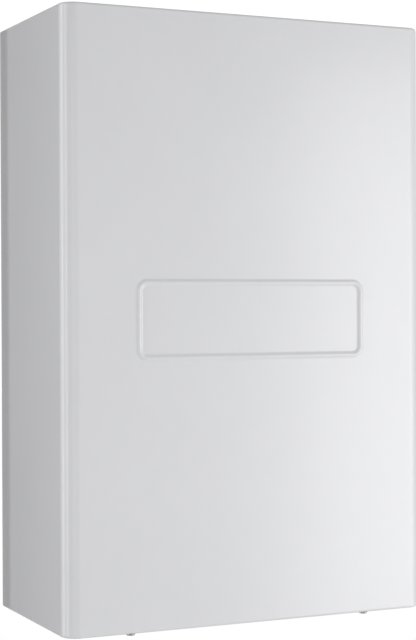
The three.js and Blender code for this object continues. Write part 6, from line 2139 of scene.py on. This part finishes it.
    def build(self) -> None:
        """Makes the controls."""
        self.box()
        self.eased("control_panel", 0.8, 3)
        for node, body in (("heating_knob", "heating_dial"), ("hot_water_knob", "hot_water_dial")):
            self.knob(node, body)
            self.scale(node)
        self.buttons()
        self.gauge_face()


@dataclass
class Studio:
    """A pale floor, soft lights and the camera, in metres.

    Attributes:
        stand: the camera's place.
        turn: degrees that it looks to the right of the wall's normal.
        tilt: degrees that it looks down.
        roll: degrees that it leans.
        lens: its focal length in millimetres.
        floor: the floor's height.
    """

    stand: Point = (-0.843, -1.919, -0.301)
    turn: float = 24.91
    tilt: float = 0.59
    roll: float = -0.2
    lens: float = 92.4
    floor: float = -1.6

    def camera(self) -> None:
        """Sets the camera up."""
        data = bpy.data.cameras.new("camera")
        data.lens = self.lens
        data.sensor_width = 36.0
        data.clip_end = 60.0
        made = bpy.data.objects.new("camera", data)
        bpy.context.scene.collection.objects.link(made)
        turn, tilt = math.radians(self.turn), math.radians(self.tilt)
        look = Vector((math.sin(turn) * math.cos(tilt), math.cos(turn) * math.cos(tilt), -math.sin(tilt)))
        facing = look.to_track_quat("-Z", "Y").to_matrix() @ Matrix.Rotation(math.radians(self.roll), 3, "Z")
        made.matrix_world = Matrix.Translation(Vector(self.stand)) @ facing.to_4x4()
        bpy.context.scene.camera = made

    def lamp(self, name: str, place: Point, aim: Point, size: tuple[float, float], power: float) -> None:
        """Adds a soft box.

        Args:
            name: its name.
            place: where it is.
            aim: where it points.
            size: its width and height.
            power: its watts.
        """
        data = bpy.data.lights.new(name, "AREA")
        data.shape = "RECTANGLE"
        data.size, data.size_y = size
        data.energy = power
        made = bpy.data.objects.new(name, data)
        bpy.context.scene.collection.objects.link(made)
        made.location = place
        made.rotation_euler = (Vector(aim) - Vector(place)).to_track_quat("-Z", "Y").to_euler()

    def card(self, name: str, size: tuple[float, float], turn: Matrix, place: Point) -> bpy.types.Object:
        """Adds a flat card to the set.

        Args:
            name: its name.
            size: its two sides.
            turn: how it is turned from lying flat.
            place: its middle.

        Returns:
            The card.
        """
        bm = bmesh.new()
        bmesh.ops.create_grid(bm, x_segments=1, y_segments=1, size=0.5)
        bmesh.ops.scale(bm, vec=(*size, 1.0), verts=bm.verts[:])
        bmesh.ops.transform(bm, matrix=Matrix.Translation(Vector(place)) @ turn, verts=bm.verts[:])
        mesh = bpy.data.meshes.new(name)
        bm.to_mesh(mesh)
        bm.free()
        made = bpy.data.objects.new(name, mesh)
        bpy.context.scene.collection.objects.link(made)
        return made

    def ground(self) -> None:
        """Lays the pale floor, which shows white and is clear from underneath."""
        made = self.card("floor", (40.0, 40.0), Matrix.Identity(4), (0.0, 0.0, self.floor))
        finish = bpy.data.materials.new("pale_floor")
        finish.use_nodes = True
        graph = Graph(finish.node_tree)
        shader = finish.node_tree.nodes["Principled BSDF"]
        place = graph.node("TexCoord").outputs["Object"]
        tone = graph.blend(graph.noise(place, 0.6, 2.0), (0.88, 0.88, 0.88), (0.92, 0.92, 0.92))
        graph.feed(shader.inputs["Base Color"], tone)
        shader.inputs["Roughness"].default_value = 0.9
        shader.inputs["Specular IOR Level"].default_value = 0.2
        white, clear = graph.node("Emission"), graph.node("BsdfTransparent")
        seen, under = graph.node("MixShader"), graph.node("MixShader")
        graph.feed(seen.inputs[0], graph.node("LightPath").outputs["Is Camera Ray"])
        graph.feed(seen.inputs[1], shader.outputs[0])
        graph.feed(seen.inputs[2], white.outputs[0])
        graph.feed(under.inputs[0], graph.node("NewGeometry").outputs["Backfacing"])
        graph.feed(under.inputs[1], seen.outputs[0])
        graph.feed(under.inputs[2], clear.outputs[0])
        graph.feed(finish.node_tree.nodes["Material Output"].inputs[0], under.outputs[0])
        made.data.materials.append(finish)

    def flag(self) -> None:
        """Stands a dark card by the wall, to the left, that keeps light off the rear of that side."""
        upright = Matrix.Rotation(math.pi / 2, 4, "X")
        made = self.card("flag", (0.22, 1.3), upright, (-0.36, 0.04, -0.35))
        finish = bpy.data.materials.new("dark_cloth")
        finish.use_nodes = True
        shader = finish.node_tree.nodes["Principled BSDF"]
        shader.inputs["Base Color"].default_value = (0.04, 0.04, 0.04, 1.0)
        shader.inputs["Roughness"].default_value = 0.95
        made.data.materials.append(finish)
        made.visible_camera = False

    def sky(self, seen: float, cast: float) -> None:
        """Sets what surrounds the scene.

        Args:
            seen: its brightness to the camera.
            cast: the light that it gives.
        """
        world = bpy.data.worlds.new("surround")
        bpy.context.scene.world = world
        world.use_nodes = True
        graph = Graph(world.node_tree)
        world.node_tree.nodes.clear()
        lit, white = graph.node("Background"), graph.node("Background")
        lit.inputs["Strength"].default_value = cast
        lit.inputs["Color"].default_value = (1.0, 1.0, 1.0, 1.0)
        white.inputs["Strength"].default_value = seen
        white.inputs["Color"].default_value = (1.0, 1.0, 1.0, 1.0)
        either = graph.node("MixShader")
        graph.feed(either.inputs[0], graph.node("LightPath").outputs["Is Camera Ray"])
        graph.feed(either.inputs[1], lit.outputs[0])
        graph.feed(either.inputs[2], white.outputs[0])
        graph.feed(graph.node("OutputWorld").inputs[0], either.outputs[0])

    def build(self) -> None:
        """Sets up the studio."""
        bpy.context.scene.view_settings.view_transform = "Standard"
        self.camera()
        self.ground()
        self.flag()
        self.sky(1.05, 0.405)
        middle = (0.0, -0.15, -0.35)
        self.lamp("key", (1.5, -1.9, -0.5), middle, (1.0, 1.6), 19.5)
        self.lamp("front_fill", (-0.9, -1.5, -0.42), (-0.2, -0.2, -0.4), (0.5, 1.3), 2.1)
        self.lamp("left_fill", (-1.3, -0.45, -0.38), (-0.22, -0.2, -0.4), (0.05, 1.3), 2.7)
        self.lamp("left_strip", (-1.5, 0.33, -0.1), (-0.22, -0.2, -0.35), (0.05, 2.1), 5.4)
        self.lamp("right_strip", (1.4, -0.95, -0.6), (0.22, -0.2, -0.45), (0.05, 0.95), 2.8)


def dress_nodes() -> None:
    """Gives every CAD node the material of its slot."""
    for name, node in frame["nodes"].items():
        for index, slot in enumerate(node.material_slots):
            key = slot.material.name if slot.material else ""
            finish = next((f for s, f in FINISHES.items() if key.startswith(s)), None)
            if finish is None:
                LOG.warning("%s: no finish for %r", name, key)
                continue
            node.material_slots[index].material = finish.material()


def main() -> None:
    """Builds the boiler and its studio."""
    logging.basicConfig(level=logging.INFO, format="%(name)s: %(message)s")
    Studio().build()
    Casing().build()
    for assembly in (Cabinet(), Flue(), HeatModule(), FanUnit(), GasTrain(), Expansion(), Hydraulics(),
                     Controls()):
        assembly.build()
    dress_nodes()
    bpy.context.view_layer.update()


if __name__ == "__main__":
    main()
